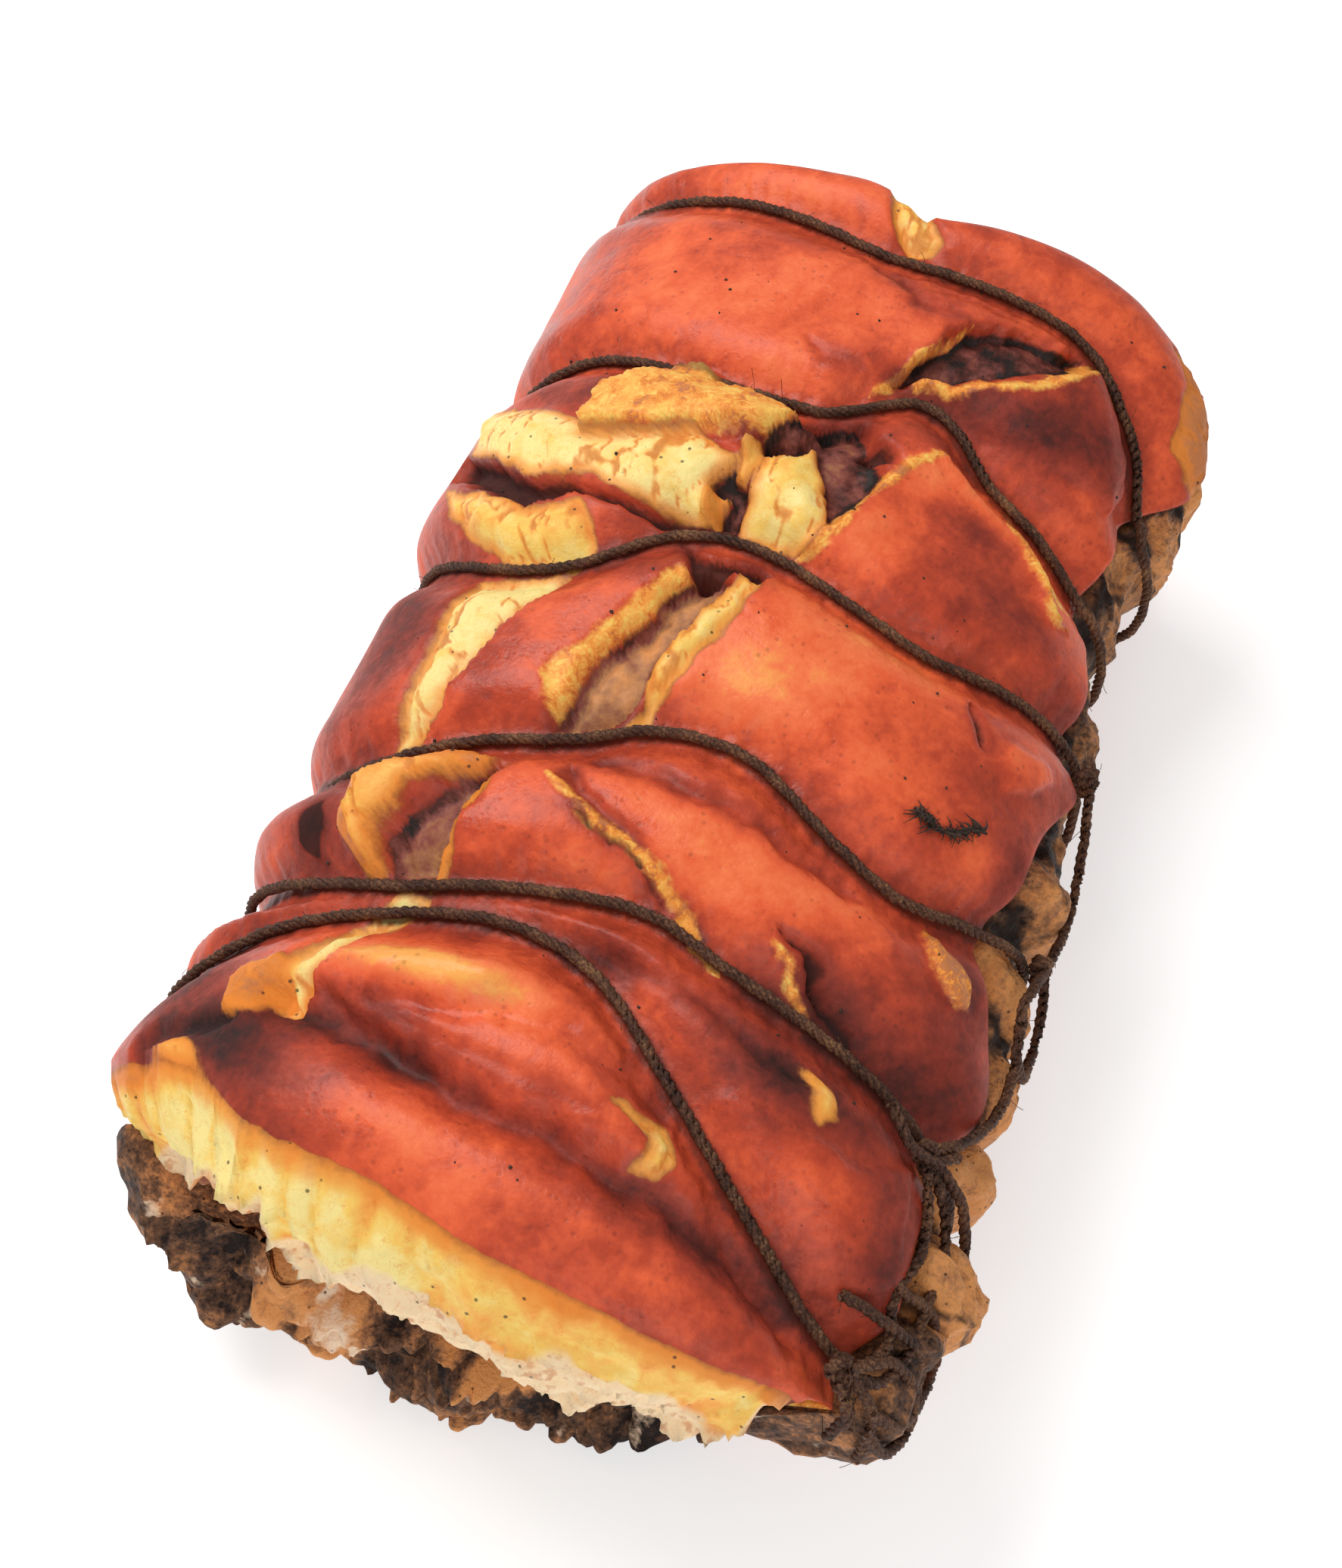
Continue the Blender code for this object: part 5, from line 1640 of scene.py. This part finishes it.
@dataclass(frozen=True)
class FloorFinish:
    """Plain pale table."""

    pale: Colour = (0.93, 0.93, 0.93)
    paler: Colour = (0.95, 0.95, 0.95)
    white: tuple[float, float, float, float] = (1.0, 1.0, 1.0, 1.0)

    def make(self, glow: float) -> bpy.types.Material:
        """Builds the material.

        Args:
            glow: How much light the lit table gives of itself.

        Returns:
            The finish of the table.
        """
        craft = Craft("pale_table")
        mottled = craft.ramp(craft.noise(300.0), ((0.3, self.pale), (0.7, self.paler)))
        return craft.done(mottled, 0.8, Emission_Color=self.white, Emission_Strength=glow,
                          Specular_IOR_Level=0.1)


# Meat


@dataclass(frozen=True)
class Lobe:
    """A lobe of fat or meat that bulges out of the seam."""

    y: float
    across: float
    long: float
    wide: float
    out: float
    fatty: float


LOBES: tuple[Lobe, ...] = (
    Lobe(140, 0.30, 14, 0.50, 0.16, 0.80), Lobe(112, 0.45, 13, 0.45, 0.08, 0.70),
    Lobe(92, 0.30, 10, 0.45, 0.06, 0.62), Lobe(76, 0.55, 11, 0.40, 0.10, 0.44),
    Lobe(57, 0.40, 11, 0.44, 0.14, 0.50), Lobe(38, 0.55, 12, 0.44, 0.20, 0.46),
    Lobe(12, 0.50, 14, 0.50, 0.22, 0.50), Lobe(-17, 0.52, 15, 0.52, 0.34, 0.62),
    Lobe(-45, 0.44, 13, 0.52, 0.36, 0.80), Lobe(-69, 0.62, 12, 0.42, 0.34, 0.74),
    Lobe(-99, 0.48, 16, 0.54, 0.46, 0.88), Lobe(-128, 0.50, 17, 0.58, 0.56, 0.84),
    Lobe(-146, 0.55, 13, 0.70, 0.60, 0.14),
)


@dataclass
class Meat:
    """The meat inside the roll: its near face, its far face and the lobes in the seam."""

    near: float = -147.0
    recess: float = 3.0
    gap: float = 1.0
    seam_columns: int = 40
    rest_columns: int = 300
    rows: int = 205
    face_rings: int = 76
    seam_height: float = 55.0
    lip_station: float = -140.0
    plain_fatty: float = 0.2
    far_shares: tuple[float, ...] = (0.08, 0.25, 0.45, 0.62, 0.78, 0.9, 0.97)
    dishing: Pairs = ((0.35, -3.0), (0.6, -5.0), (0.82, -5.0), (0.97, 0.0), (1.0, 5.0))

    def share(self, across: Array, y: Array) -> tuple[Array, dict[str, Array]]:
        """How far the seam's lumps stand out between the hollow (0) and the outer form (1).

        Args:
            across: 0 at the seam's top lip, 1 at its bottom one.
            y: Stations.

        Returns:
            The share, how fatty and pale each place is, and the black of painted shade in its hollows and
            crevices.
        """
        shoulder = 1.0 - np.abs(2.0 * across - 1.0) ** 3
        flat = np.stack((across * self.seam_height, y, np.zeros(len(y))), -1)
        lumps = 0.5 + 0.5 * np.sin(y / 8.5 + 5.0 * across)
        lumps = 0.6 * lumps + 0.4 * (0.5 + 0.5 * np.sin(y / 4.1 - 3.0 * across))
        cavity = bell((y + 80.0) / 10.0) * eased(1.5 - 3.0 * across)
        hollow = bell((y - 55.0) / 22.0)
        share = 0.70 + 0.12 * shoulder + 0.04 * lumps - 0.34 * cavity - 0.06 * hollow
        fatty = 0.20 + 0.25 * GRAIN.rough(flat + 40.0, 15.0, 3)
        # Black in the cavity and the hollows: painted shade.
        cave = np.clip(cavity + 0.45 * np.maximum(0.0, -GRAIN.rough(flat, 13.0, 3)), 0.0, 1.0)
        pale = np.zeros(len(y))
        wander = flat + 3.0 * np.stack([GRAIN.rough(flat + 70.0 * k, 12.0, 3) for k in (1, 2, 3)], -1)
        for lobe in LOBES:
            off = (wander[:, 0] / self.seam_height - lobe.across) / lobe.wide
            away = np.hypot((wander[:, 1] - lobe.y) / lobe.long, off)
            dome = np.clip(1.0 - away ** 2, 0.0, 1.0) ** 0.7
            share = np.maximum(share, 0.74 + lobe.out * dome)
            fatty = np.maximum(fatty, lobe.fatty * eased(dome * 2.0))
            cave *= 1.0 - eased(dome * 1.8)
            # A black ring just outside each lobe: painted shade in the crevices between lobes.
            cave += 0.7 * bell((away - 1.08) / 0.13) * (away > 0.9)
        share += 0.08 * GRAIN.rough(flat, 8.0, 4) + 0.02 * GRAIN.rough(flat + 35.0, 3.0, 2)
        # Darker towards the seam's bottom lip: painted shade on the lower, downward-facing side.
        fatty += 0.16 * GRAIN.rough(flat + 220.0, 7.0, 3) - 0.34 * eased((across - 0.60) / 0.16)
        return share, {"fatty": np.clip(fatty, 0.0, 1.0), "pale": pale, "cave": np.clip(cave, 0.0, 1.0)}

    def near_lump(self, x: Array, z: Array) -> Array:
        """How far the meat stands out at the near end."""
        wave = 4.5 * np.sin(x / 13.0 + 0.8) + 3.0 * np.sin(x / 6.1 + z / 9.0)
        return (wave + 2.2 * np.sin(z / 5.0 - x / 17.0)) * (1.0 - 0.5 * eased(x / 60.0))

    def ring_angles(self) -> tuple[Array, Array]:
        """Angles of one ring.

        Returns:
            Degrees and, inside the seam, the share across it (-1 elsewhere).
        """
        top = FORM.seam_top + FORM.seam_gap
        bottom = FORM.seam_bottom - FORM.seam_gap
        across = np.linspace(0.0, 1.0, self.seam_columns)
        seam = top + (bottom - top) * across
        rest = np.linspace(bottom, top + 360.0, self.rest_columns)
        angles = np.concatenate(((seam[0],), seam, (seam[-1],), rest[1:-1]))
        shares = np.concatenate(((-1.0,), across, (-1.0,), np.full(len(rest) - 2, -1.0)))
        return angles, shares

    def ring(self, y: float, lumps: float) -> tuple[Array, dict[str, Array]]:
        """One ring of the meat.

        Args:
            y: Its station.
            lumps: 1 where the seam's lobes stand out, 0 where they don't.

        Returns:
            Its points and their layers.
        """
        angles, across = self.ring_angles()
        in_seam = across >= 0.0
        station = np.full(len(angles), y)
        points = FORM.inside(wrapped(angles), station, self.gap)
        a = angles + FORM.seam_wave(station) * (1.0 - 0.3 * np.maximum(across, 0.0))
        r = FORM.form_reach(a, station) + FORM.plain_offset(angles, station, FORM.from_twine(angles, station))
        outer = FORM.around(a, station, r)
        outer[:, 2] = np.maximum(0.0, outer[:, 2])
        share, layers = self.share(across, station)
        mixed = points + (outer - points) * (share * lumps)[:, None]
        points = np.where(in_seam[:, None], mixed, points)
        return points, {key: np.where(in_seam, layers[key], self.plain_fatty) for key in layers}

    def face_ring(self, share: float, depth: float, spreading: float) -> tuple[Array, dict[str, Array]]:
        """One ring of the near face.

        Args:
            share: Share of the way from its centre.
            depth: How much further in it lies.
            spreading: 1 where it spreads out in front of the wrap.

        Returns:
            Its points and their layers.
        """
        plain = self.ring(self.near, 0.0)[0]
        full = self.ring(self.near, 1.0)[0]
        settle = float(eased(np.array((share - 0.84) / 0.16)))
        rim = plain + (full - plain) * settle
        angle = np.degrees(np.arctan2(rim[:, 0] - FORM.hollow_x, rim[:, 2] - FORM.hollow_z))
        spread = np.where(angle < 0.0, eased((-angle - 75.0) / 12.0), eased((angle - 86.0) / 20.0))
        spread = spread * spreading
        lip = np.full(len(angle), self.lip_station)
        wide = FORM.outside(angle, lip, FORM.plain_offset(angle, lip, FORM.from_twine(angle, lip)) - 3.0)
        centre = np.array((FORM.hollow_x, 0.0, FORM.hollow_z))
        out = rim + (wide - rim) * spread[:, None]
        ragged = 1.0 + 0.05 * share * GRAIN.rough(out + 190.0, 12.0, 2)
        place = centre + (out - centre) * (share * ragged)[:, None]
        lump = self.near_lump(place[:, 0], place[:, 2]) * min(1.0, 3.0 - 3.0 * share)
        cut = NearCut().measure(place)
        stands = cut["out"] * min(1.0, 6.0 - 6.0 * share)
        place[:, 1] = FORM.along(FORM.foot, angle) + depth + 0.4 * lump - stands
        return place, cut

    def build(self) -> bpy.types.Object:
        """Makes the meat's mesh.

        Returns:
            The object, without its finish.
        """
        rings = []
        angles, across = self.ring_angles()
        far = FORM.along(FORM.far_rim, wrapped(angles)) - self.recess
        y_far = float(far.min())
        centre = np.array((FORM.hollow_x, 163.0, FORM.hollow_z))
        flat, plain = self.ring(0.0, 0.0)
        flat[:, 1] = far
        for share in self.far_shares:
            points = centre + (flat - centre) * share
            lump = self.near_lump(points[:, 0], points[:, 2])
            points[:, 1] += 2.0 + 0.3 * lump + 2.0 * GRAIN.rough(points, 14.0, 3)
            rings.append((points, plain))
        rings.append((flat, plain))
        for k in range(self.rows, -1, -1):
            y = self.near + (y_far - 5.0 - self.near) * k / self.rows
            rings.append(self.ring(y, 1.0))
        rings.append(self.face_ring(1.0, 9.0, 0.0))
        for share in (1.0, 0.985, *np.linspace(0.97, 0.04, self.face_rings)):
            depth = float(through(self.dishing, np.array(share)))
            rings.append(self.face_ring(share, depth, 1.0))
        points = np.stack([ring[0] for ring in rings])
        count = points.shape[1]
        numbers = np.arange(points.shape[0] * count).reshape(points.shape[:2])
        closed = np.concatenate((numbers, numbers[:, :1]), axis=1)
        faces = strip_faces(closed)
        flat_points = points.reshape(-1, 3)
        tip = len(flat_points)
        caps = np.array((centre + (0.0, 2.0, 0.0), points[-1].mean(axis=0)))
        faces += [(tip, closed[0, k + 1], closed[0, k]) for k in range(count)]
        faces += [(tip + 1, closed[-1, k], closed[-1, k + 1]) for k in range(count)]
        layers = {key: np.concatenate([ring[1][key] for ring in rings] + [np.full(2, self.plain_fatty)])
                  for key in ("fatty", "pale", "cave")}
        flat_points = np.concatenate((flat_points, caps))
        flat_points[:, 2] = np.maximum(flat_points[:, 2], 0.0)
        return add_mesh("rolled_meat_core", flat_points, faces, layers)


# Twine


@dataclass
class Cord:
    """Twisted twine laid along a path."""

    radius: float = 1.5
    ply: int = 3
    pitch: float = 7.5
    sides: int = 6
    step: float = 1.3

    def resample(self, path: Array, closed: bool) -> Array:
        """The path with even steps.

        Args:
            path: Rows of x, y, z.
            closed: Whether it comes round to its start.

        Returns:
            Rows of x, y, z a step apart.
        """
        if closed:
            path = np.vstack((path, path[:1]))
        lengths = np.concatenate(((0.0,), np.cumsum(np.linalg.norm(np.diff(path, axis=0), axis=1))))
        count = max(4, round(lengths[-1] / self.step))
        at = np.linspace(0.0, lengths[-1], count + 1)
        if closed:
            at = at[:-1]
        return np.stack([np.interp(at, lengths, path[:, k]) for k in range(3)], -1)

    def frames(self, path: Array, closed: bool) -> tuple[Array, Array, Array]:
        """Directions along, beside and over the path.

        Args:
            path: Its centre line.
            closed: Whether it comes round to its start.

        Returns:
            Three sets of rows of x, y, z.
        """
        if closed:
            ahead = np.roll(path, -1, axis=0) - np.roll(path, 1, axis=0)
        else:
            ahead = np.gradient(path, axis=0)
        ahead = ahead / np.linalg.norm(ahead, axis=1, keepdims=True)
        hint = np.where(np.abs(ahead[:, 1:2]) < 0.85, np.array((0.0, 1.0, 0.0)), np.array((0.6, 0.0, 0.8)))
        side = np.cross(ahead, hint)
        side /= np.linalg.norm(side, axis=1, keepdims=True)
        return ahead, side, np.cross(ahead, side)

    def tube(self, path: Array, radius: float | Array, closed: bool, start: int) -> tuple[Array, list]:
        """A plain tube.

        Args:
            path: Its centre line.
            radius: Its radius.
            closed: Whether it comes round to its start.
            start: Number of its first vertex.

        Returns:
            Its points and faces.
        """
        _, side, over = self.frames(path, closed)
        turn = 2 * np.pi * (np.arange(self.sides) + 0.5) / self.sides
        ring = side[:, None, :] * np.cos(turn)[None, :, None] + over[:, None, :] * np.sin(turn)[None, :, None]
        points = path[:, None, :] + ring * (np.zeros(len(path)) + radius)[:, None, None]
        numbers = start + np.arange(len(path) * self.sides).reshape(len(path), self.sides)
        grid = np.concatenate((numbers, numbers[:, :1]), axis=1)
        if closed:
            grid = np.concatenate((grid, grid[:1]))
        faces = strip_faces(grid)
        if not closed:
            faces += [numbers[0].tolist(), numbers[-1][::-1].tolist()]
        return points.reshape(-1, 3), faces

    def twisted(self, path: Array, closed: bool, start: int) -> tuple[Array, list]:
        """The strands of twisted twine.

        Args:
            path: Its centre line.
            closed: Whether it comes round to its start.
            start: Number of its first vertex.

        Returns:
            Points and faces of all its strands.
        """
        path = self.resample(path, closed)
        _, side, over = self.frames(path, closed)
        lengths = np.arange(len(path)) * self.step
        turns = lengths[-1] / self.pitch
        if closed:
            turns = round(turns)
        points = []
        faces: list = []
        for strand in range(self.ply):
            turn = 2 * np.pi * (lengths / (lengths[-1] + self.step * closed) * turns + strand / self.ply)
            turn += 0.7 * np.sin(lengths / 11.0) * np.sin(np.pi * lengths / lengths[-1])
            out = side * np.cos(turn)[:, None] + over * np.sin(turn)[:, None]
            lane = path + 0.48 * self.radius * out
            swell = 1.0 + 0.14 * np.sin(lengths / 4.7 + 2.0 * strand) + 0.08 * np.sin(lengths / 1.9 + strand)
            made, around = self.tube(lane, 0.56 * self.radius * swell, closed, start)
            points.append(made)
            faces += around
            start += len(made)
        return np.concatenate(points), faces


@dataclass
class Bundle:
    """Tubes gathered into one mesh."""

    points: list[Array] = field(default_factory=list)
    faces: list = field(default_factory=list)
    count: int = 0

    def add(self, made: Array, around: list) -> None:
        """Takes in a tube.

        Args:
            made: Its points.
            around: Its faces, numbered from the bundle's count.
        """
        self.points.append(made)
        self.faces += around
        self.count += len(made)


@dataclass
class Tie:
    """One piece of twine: its loops, knots, lacing and loose fibres."""

    name: str
    node: str
    loops: tuple[int, ...]
    knots: Pairs
    lacing: tuple[tuple[float, float, float], ...] = ()
    ends: tuple[tuple[tuple[float, float, float], ...], ...] = ()
    slack: dict[int, float] = field(default_factory=lambda: {6: 6.0, 5: 5.0})
    lowest: float = 1.6
    fibres: int = 60
    fibre_radius: float = 0.09

    def surface(self, angle: Array, y: Array, height: float | Array) -> Array:
        """Points over the plain form, at a height over it."""
        return FORM.around(angle, y, FORM.form_reach(angle, y) + height)

    def loop(self, number: int) -> Array:
        """Centre line of one loop.

        Args:
            number: Which twine.

        Returns:
            Rows of x, y, z.
        """
        angle = np.arange(-180.0, 180.0, 1.2)
        y = FORM.along(FORM.twines[number], angle)
        moved = FORM.beside_seam(angle, y)
        in_seam = (angle > FORM.seam_top) & (angle < FORM.seam_bottom)
        moved = np.where(in_seam, angle + FORM.seam_wave(y), moved)
        away = FORM.from_twine(angle, y)
        height = FORM.plain_offset(angle, y, away) + 1.5
        height = height + self.slack.get(number, 0.0) * bell((wrapped(angle) + 80.0) / 16.0) + 1.0 * in_seam
        points = self.surface(moved, y, height)
        points[:, 2] = np.maximum(points[:, 2], 2.0)
        return points

    def smooth(self, points: Array, steps: int = 12) -> Array:
        """A curve through points.

        Args:
            points: Rows of x, y, z.
            steps: How many new points stand for each stretch.

        Returns:
            Rows of x, y, z.
        """
        padded = np.vstack((2 * points[0] - points[1], points, 2 * points[-1] - points[-2]))
        u = np.linspace(0.0, 1.0, steps, endpoint=False)[:, None]
        parts = []
        for p0, p1, p2, p3 in zip(padded, padded[1:], padded[2:], padded[3:]):
            parts.append(0.5 * (2 * p1 + (p2 - p0) * u + (2 * p0 - 5 * p1 + 4 * p2 - p3) * u ** 2
                                + (3 * p1 - p0 - 3 * p2 + p3) * u ** 3))
        return np.vstack(parts + [points[-1:]])

    def knot(self, angle: float, y: float) -> Array:
        """Centre line of a tight knot.

        Args:
            angle: Its angle.
            y: Its station.

        Returns:
            Rows of x, y, z of a closed curve.
        """
        t = np.linspace(0.0, 2 * np.pi, 60, endpoint=False)
        centre = self.surface(np.array((angle,)), np.array((y,)), 0.6)[0]
        a = math.radians(angle)
        out = np.array((math.sin(a), 0.0, math.cos(a)))
        along = np.array((0.0, 1.0, 0.0))
        side = np.cross(along, out)
        x = (np.sin(t) + 2 * np.sin(2 * t)) * 1.15
        w = (np.cos(t) - 2 * np.cos(2 * t)) * 1.15
        h = -np.sin(3 * t) * 1.5
        return centre + x[:, None] * along + w[:, None] * side + h[:, None] * out

    def build(self, random: np.random.Generator) -> bpy.types.Object:
        """Makes the twine.

        Args:
            random: Source of the loose fibres.

        Returns:
            The object, without its finish.
        """
        cord = Cord()
        bundle = Bundle()
        for number in self.loops:
            bundle.add(*cord.twisted(self.loop(number), True, bundle.count))
        tight = Cord(step=1.0)
        for angle, y in self.knots:
            bundle.add(*tight.twisted(self.knot(angle, y), True, bundle.count))
        strand = Cord(radius=1.45)
        for run in ((self.lacing,) if self.lacing else ()) + self.ends:
            path = self.smooth(self.surface(*np.array(run, float).T))
            path[:, 2] = np.maximum(path[:, 2], self.lowest)
            bundle.add(*strand.twisted(path, False, bundle.count))
        base = np.concatenate(bundle.points)
        hair = Cord(sides=3)
        for _ in range(self.fibres * len(self.loops)):
            root = base[random.integers(len(base))]
            aim = random.normal(size=3)
            aim /= np.linalg.norm(aim)
            length = random.uniform(1.5, 4.5)
            bend = random.normal(size=3) * 0.3
            u = np.linspace(0.0, 1.0, 4)[:, None]
            lane = root + aim * length * u + bend * length * u * u
            if lane[:, 2].min() >= 0.3:
                bundle.add(*hair.tube(lane, self.fibre_radius, False, bundle.count))
        return add_mesh(self.name, np.concatenate(bundle.points), bundle.faces)


TIES: tuple[Tie, ...] = (
    Tie("first_tie", "twine_loop_1", (1,), ()),
    Tie("second_tie", "twine_loop_2", (2,), ()),
    Tie("laced_ties", "twine_laced", (3, 4, 5, 6), ((78, 15), (83, -38), (68, -106), (66, -160)),
        ((78, 15, 1.2), (80, 2, 2.4), (84, -9, 2.6), (87, -20, 2.6), (85, -30, 2.2), (83, -38, 1.6),
         (79, -47, 2.4), (77, -57, 2.4), (81, -69, 2.4), (79, -84, 2.4), (73, -97, 2.2), (68, -106, 1.8),
         (73, -114, 2.6), (76, -122, 2.8), (76, -134, 2.8), (76, -146, 2.4), (72, -157, 2.0), (66, -161, 1.8),
         (69, -166, 0.6), (72, -168, -1.0)),
        (((83, -38, 1.6), (88, -46, 3.0), (91, -55, 3.4), (87, -65, 3.0), (80, -66, 2.4), (78, -57, 2.4)),
         ((68, -106, 2.0), (77, -110, 3.0), (85, -120, 3.2), (90, -133, 3.0), (89, -146, 2.8),
          (80, -160, 2.6), (72, -164, 2.2)),
         ((59, -102, 2.2), (63, -108, 3.2), (68, -107, 2.4), (72, -102, 3.0)),
         ((67, -107, 1.5), (70, -116, 2.0), (72, -127, 1.6), (70, -139, 1.4), (71, -150, 2.0),
          (66, -160, 2.5)),
         ((66, -160, 2.4), (72, -152, 3.0), (80, -152, 3.0), (86, -158, 2.0), (82, -166, 0.0),
          (74, -167, 0.5)),
         ((66, -133, 1.0), (70, -137, 2.4), (77, -136, 3.6), (85, -141, 2.0)),
         ((62, -146, 1.2), (68, -146, 3.2), (77, -145, 3.4), (86, -149, 1.6)),
         ((66, -160, 2.0), (72, -163, 2.0), (78, -167, -2.0), (84, -168, -6.0)),
         ((66, -160, 2.0), (70, -166, 0.0), (73, -168, -5.0), (76, -169, -9.0)))),
)


# Seasoning


@dataclass
class Seasoning:
    """Cracked pepper on the rind and the fat."""

    flecks: int = 90
    smallest: float = 0.25
    largest: float = 0.75

    def build(self, random: np.random.Generator) -> bpy.types.Object:
        """Scatters the pepper as one mesh.

        Args:
            random: Source of the places.

        Returns:
            The object, without its finish.
        """
        q = random.uniform(-90.0, 96.0, self.flecks)
        y = random.uniform(-160.0, 150.0, self.flecks)
        angle = FORM.angle_at(q)
        found = Relief(angle, y).measure()
        keep = (y > FORM.along(FORM.near_rim, angle) + 2) & (y < FORM.along(FORM.far_rim, angle) - 3)
        places = FORM.outside(angle, y, found["height"])
        points = []
        faces: list = []
        ball = bmesh.new()
        bmesh.ops.create_icosphere(ball, subdivisions=1, radius=1.0)
        shape = np.array([v.co for v in ball.verts])
        corners = np.array([[v.index for v in f.verts] for f in ball.faces])
        ball.free()
        for k in np.flatnonzero(keep):
            size = random.uniform(self.smallest, self.largest)
            crumb = shape * random.uniform(0.6, 1.2, (len(shape), 1)) * size * random.uniform(0.6, 1.0, 3)
            faces += (corners + len(points) * len(shape)).tolist()
            points.append(places[k] + crumb)
        return add_mesh("cracked_pepper", np.concatenate(points), faces)


@dataclass
class Herb:
    """A charred sprig stuck to the rind."""

    spine: Pairs = ((61, -31), (65, -32.5), (69, -33), (73, -31), (77, -28), (81, -26))
    fibres: int = 90

    def build(self, random: np.random.Generator) -> bpy.types.Object:
        """Makes the sprig.

        Args:
            random: Source of its fibres.

        Returns:
            The object, without its finish.
        """
        spine = np.array(self.spine, float)
        cord = Cord(sides=5)
        bundle = Bundle()
        for _ in range(self.fibres):
            along = random.uniform(0.0, len(spine) - 1.001)
            i = int(along)
            at = spine[i] + (spine[i + 1] - spine[i]) * (along - i)
            turn = random.uniform(0.0, 2 * np.pi)
            length = random.uniform(1.6, 5.2)
            u = np.linspace(0.0, 1.0, 5)
            q = at[0] + length * u * np.cos(turn) + 1.2 * u * u * random.normal()
            y = at[1] + 0.6 * length * u * np.sin(turn) + 1.2 * u * u * random.normal()
            angle = FORM.angle_at(q)
            found = Relief(angle, y).measure()
            lift = 0.4 + random.uniform(0.0, 1.6) * np.sin(np.pi * u)
            lane = FORM.outside(angle, y, found["height"] + lift)
            thick = random.uniform(0.25, 0.55) * (1.15 - u)
            bundle.add(*cord.tube(lane, thick, False, bundle.count))
        return add_mesh("charred_herb", np.concatenate(bundle.points), bundle.faces)


# Studio


@dataclass(frozen=True)
class Studio:
    """The pale table and its soft light."""

    table_size: float = 6.0
    sky: float = 0.36
    key_power: float = 7.6
    glow: float = 0.42

    def build(self) -> None:
        """Adds the table, the sky and two soft lights."""
        bm = bmesh.new()
        bmesh.ops.create_grid(bm, x_segments=2, y_segments=2, size=self.table_size / 2)
        mesh = bpy.data.meshes.new("table")
        bm.to_mesh(mesh)
        bm.free()
        mesh.materials.append(FloorFinish().make(self.glow))
        table = bpy.data.objects.new("table", mesh)
        table.location = (0.0, 0.0, -0.0003)
        bpy.context.scene.collection.objects.link(table)
        world = bpy.data.worlds.new("soft_sky")
        world.use_nodes = True
        world.node_tree.nodes["Background"].inputs["Color"].default_value = (1.0, 1.0, 1.0, 1.0)
        world.node_tree.nodes["Background"].inputs["Strength"].default_value = self.sky
        bpy.context.scene.world = world
        self.lamp("window", (-0.55, 0.25, 0.95), 0.7, self.key_power)
        self.lamp("fill", (0.35, -0.85, 0.75), 0.9, 0.5 * self.key_power)
        view = bpy.context.scene.view_settings
        view.view_transform = "Standard"
        view.look = "None"

    def lamp(self, name: str, place: tuple[float, float, float], size: float, power: float) -> None:
        """Adds a square soft light that looks at the roast.

        Args:
            name: Its name.
            place: Where it hangs, in metres.
            size: Its width in metres.
            power: Its power in watts.
        """
        light = bpy.data.lights.new(name, "AREA")
        light.size = size
        light.energy = power
        lamp = bpy.data.objects.new(name, light)
        lamp.location = place
        lamp.rotation_euler = (Vector(place) - Vector((0.0, 0.0, 0.05))).to_track_quat("Z", "Y").to_euler()
        bpy.context.scene.collection.objects.link(lamp)


def settle(piece: bpy.types.Object, nodes: Sequence[str], slot: str, finish: bpy.types.Material) -> None:
    """Gives a piece its finish and body, and hides the solids that it stands for.

    Args:
        piece: The object.
        nodes: CAD nodes that it replaces.
        slot: Not used.
        finish: Its material.
    """
    piece.data.materials.append(finish)
    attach(piece, "root")
    if nodes:
        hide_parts(*nodes)
    LOG.info("%s: %d faces", piece.name, len(piece.data.polygons))


def main() -> None:
    """Builds the camera, the roast and the studio in order."""
    logging.basicConfig(level=logging.INFO, format="%(name)s: %(message)s", stream=sys.stdout)
    Viewpoint().place()
    random = np.random.default_rng(SEED)
    settle(Wrap().build(), ["rind_and_fat"], "browned_rind", RindFinish().make())
    settle(Meat().build(), ["rolled_meat"], "roasted_meat", MeatFinish().make())
    twine = TwineFinish().make()
    for tie in TIES:
        settle(tie.build(random), [tie.node], "charred_twine", twine)
    seasoning = SpeckFinish().make()
    settle(Seasoning().build(random), [], "roasted_meat", seasoning)
    settle(Herb().build(random), [], "roasted_meat", seasoning)
    Studio().build()


if __name__ == "__main__":
    main()
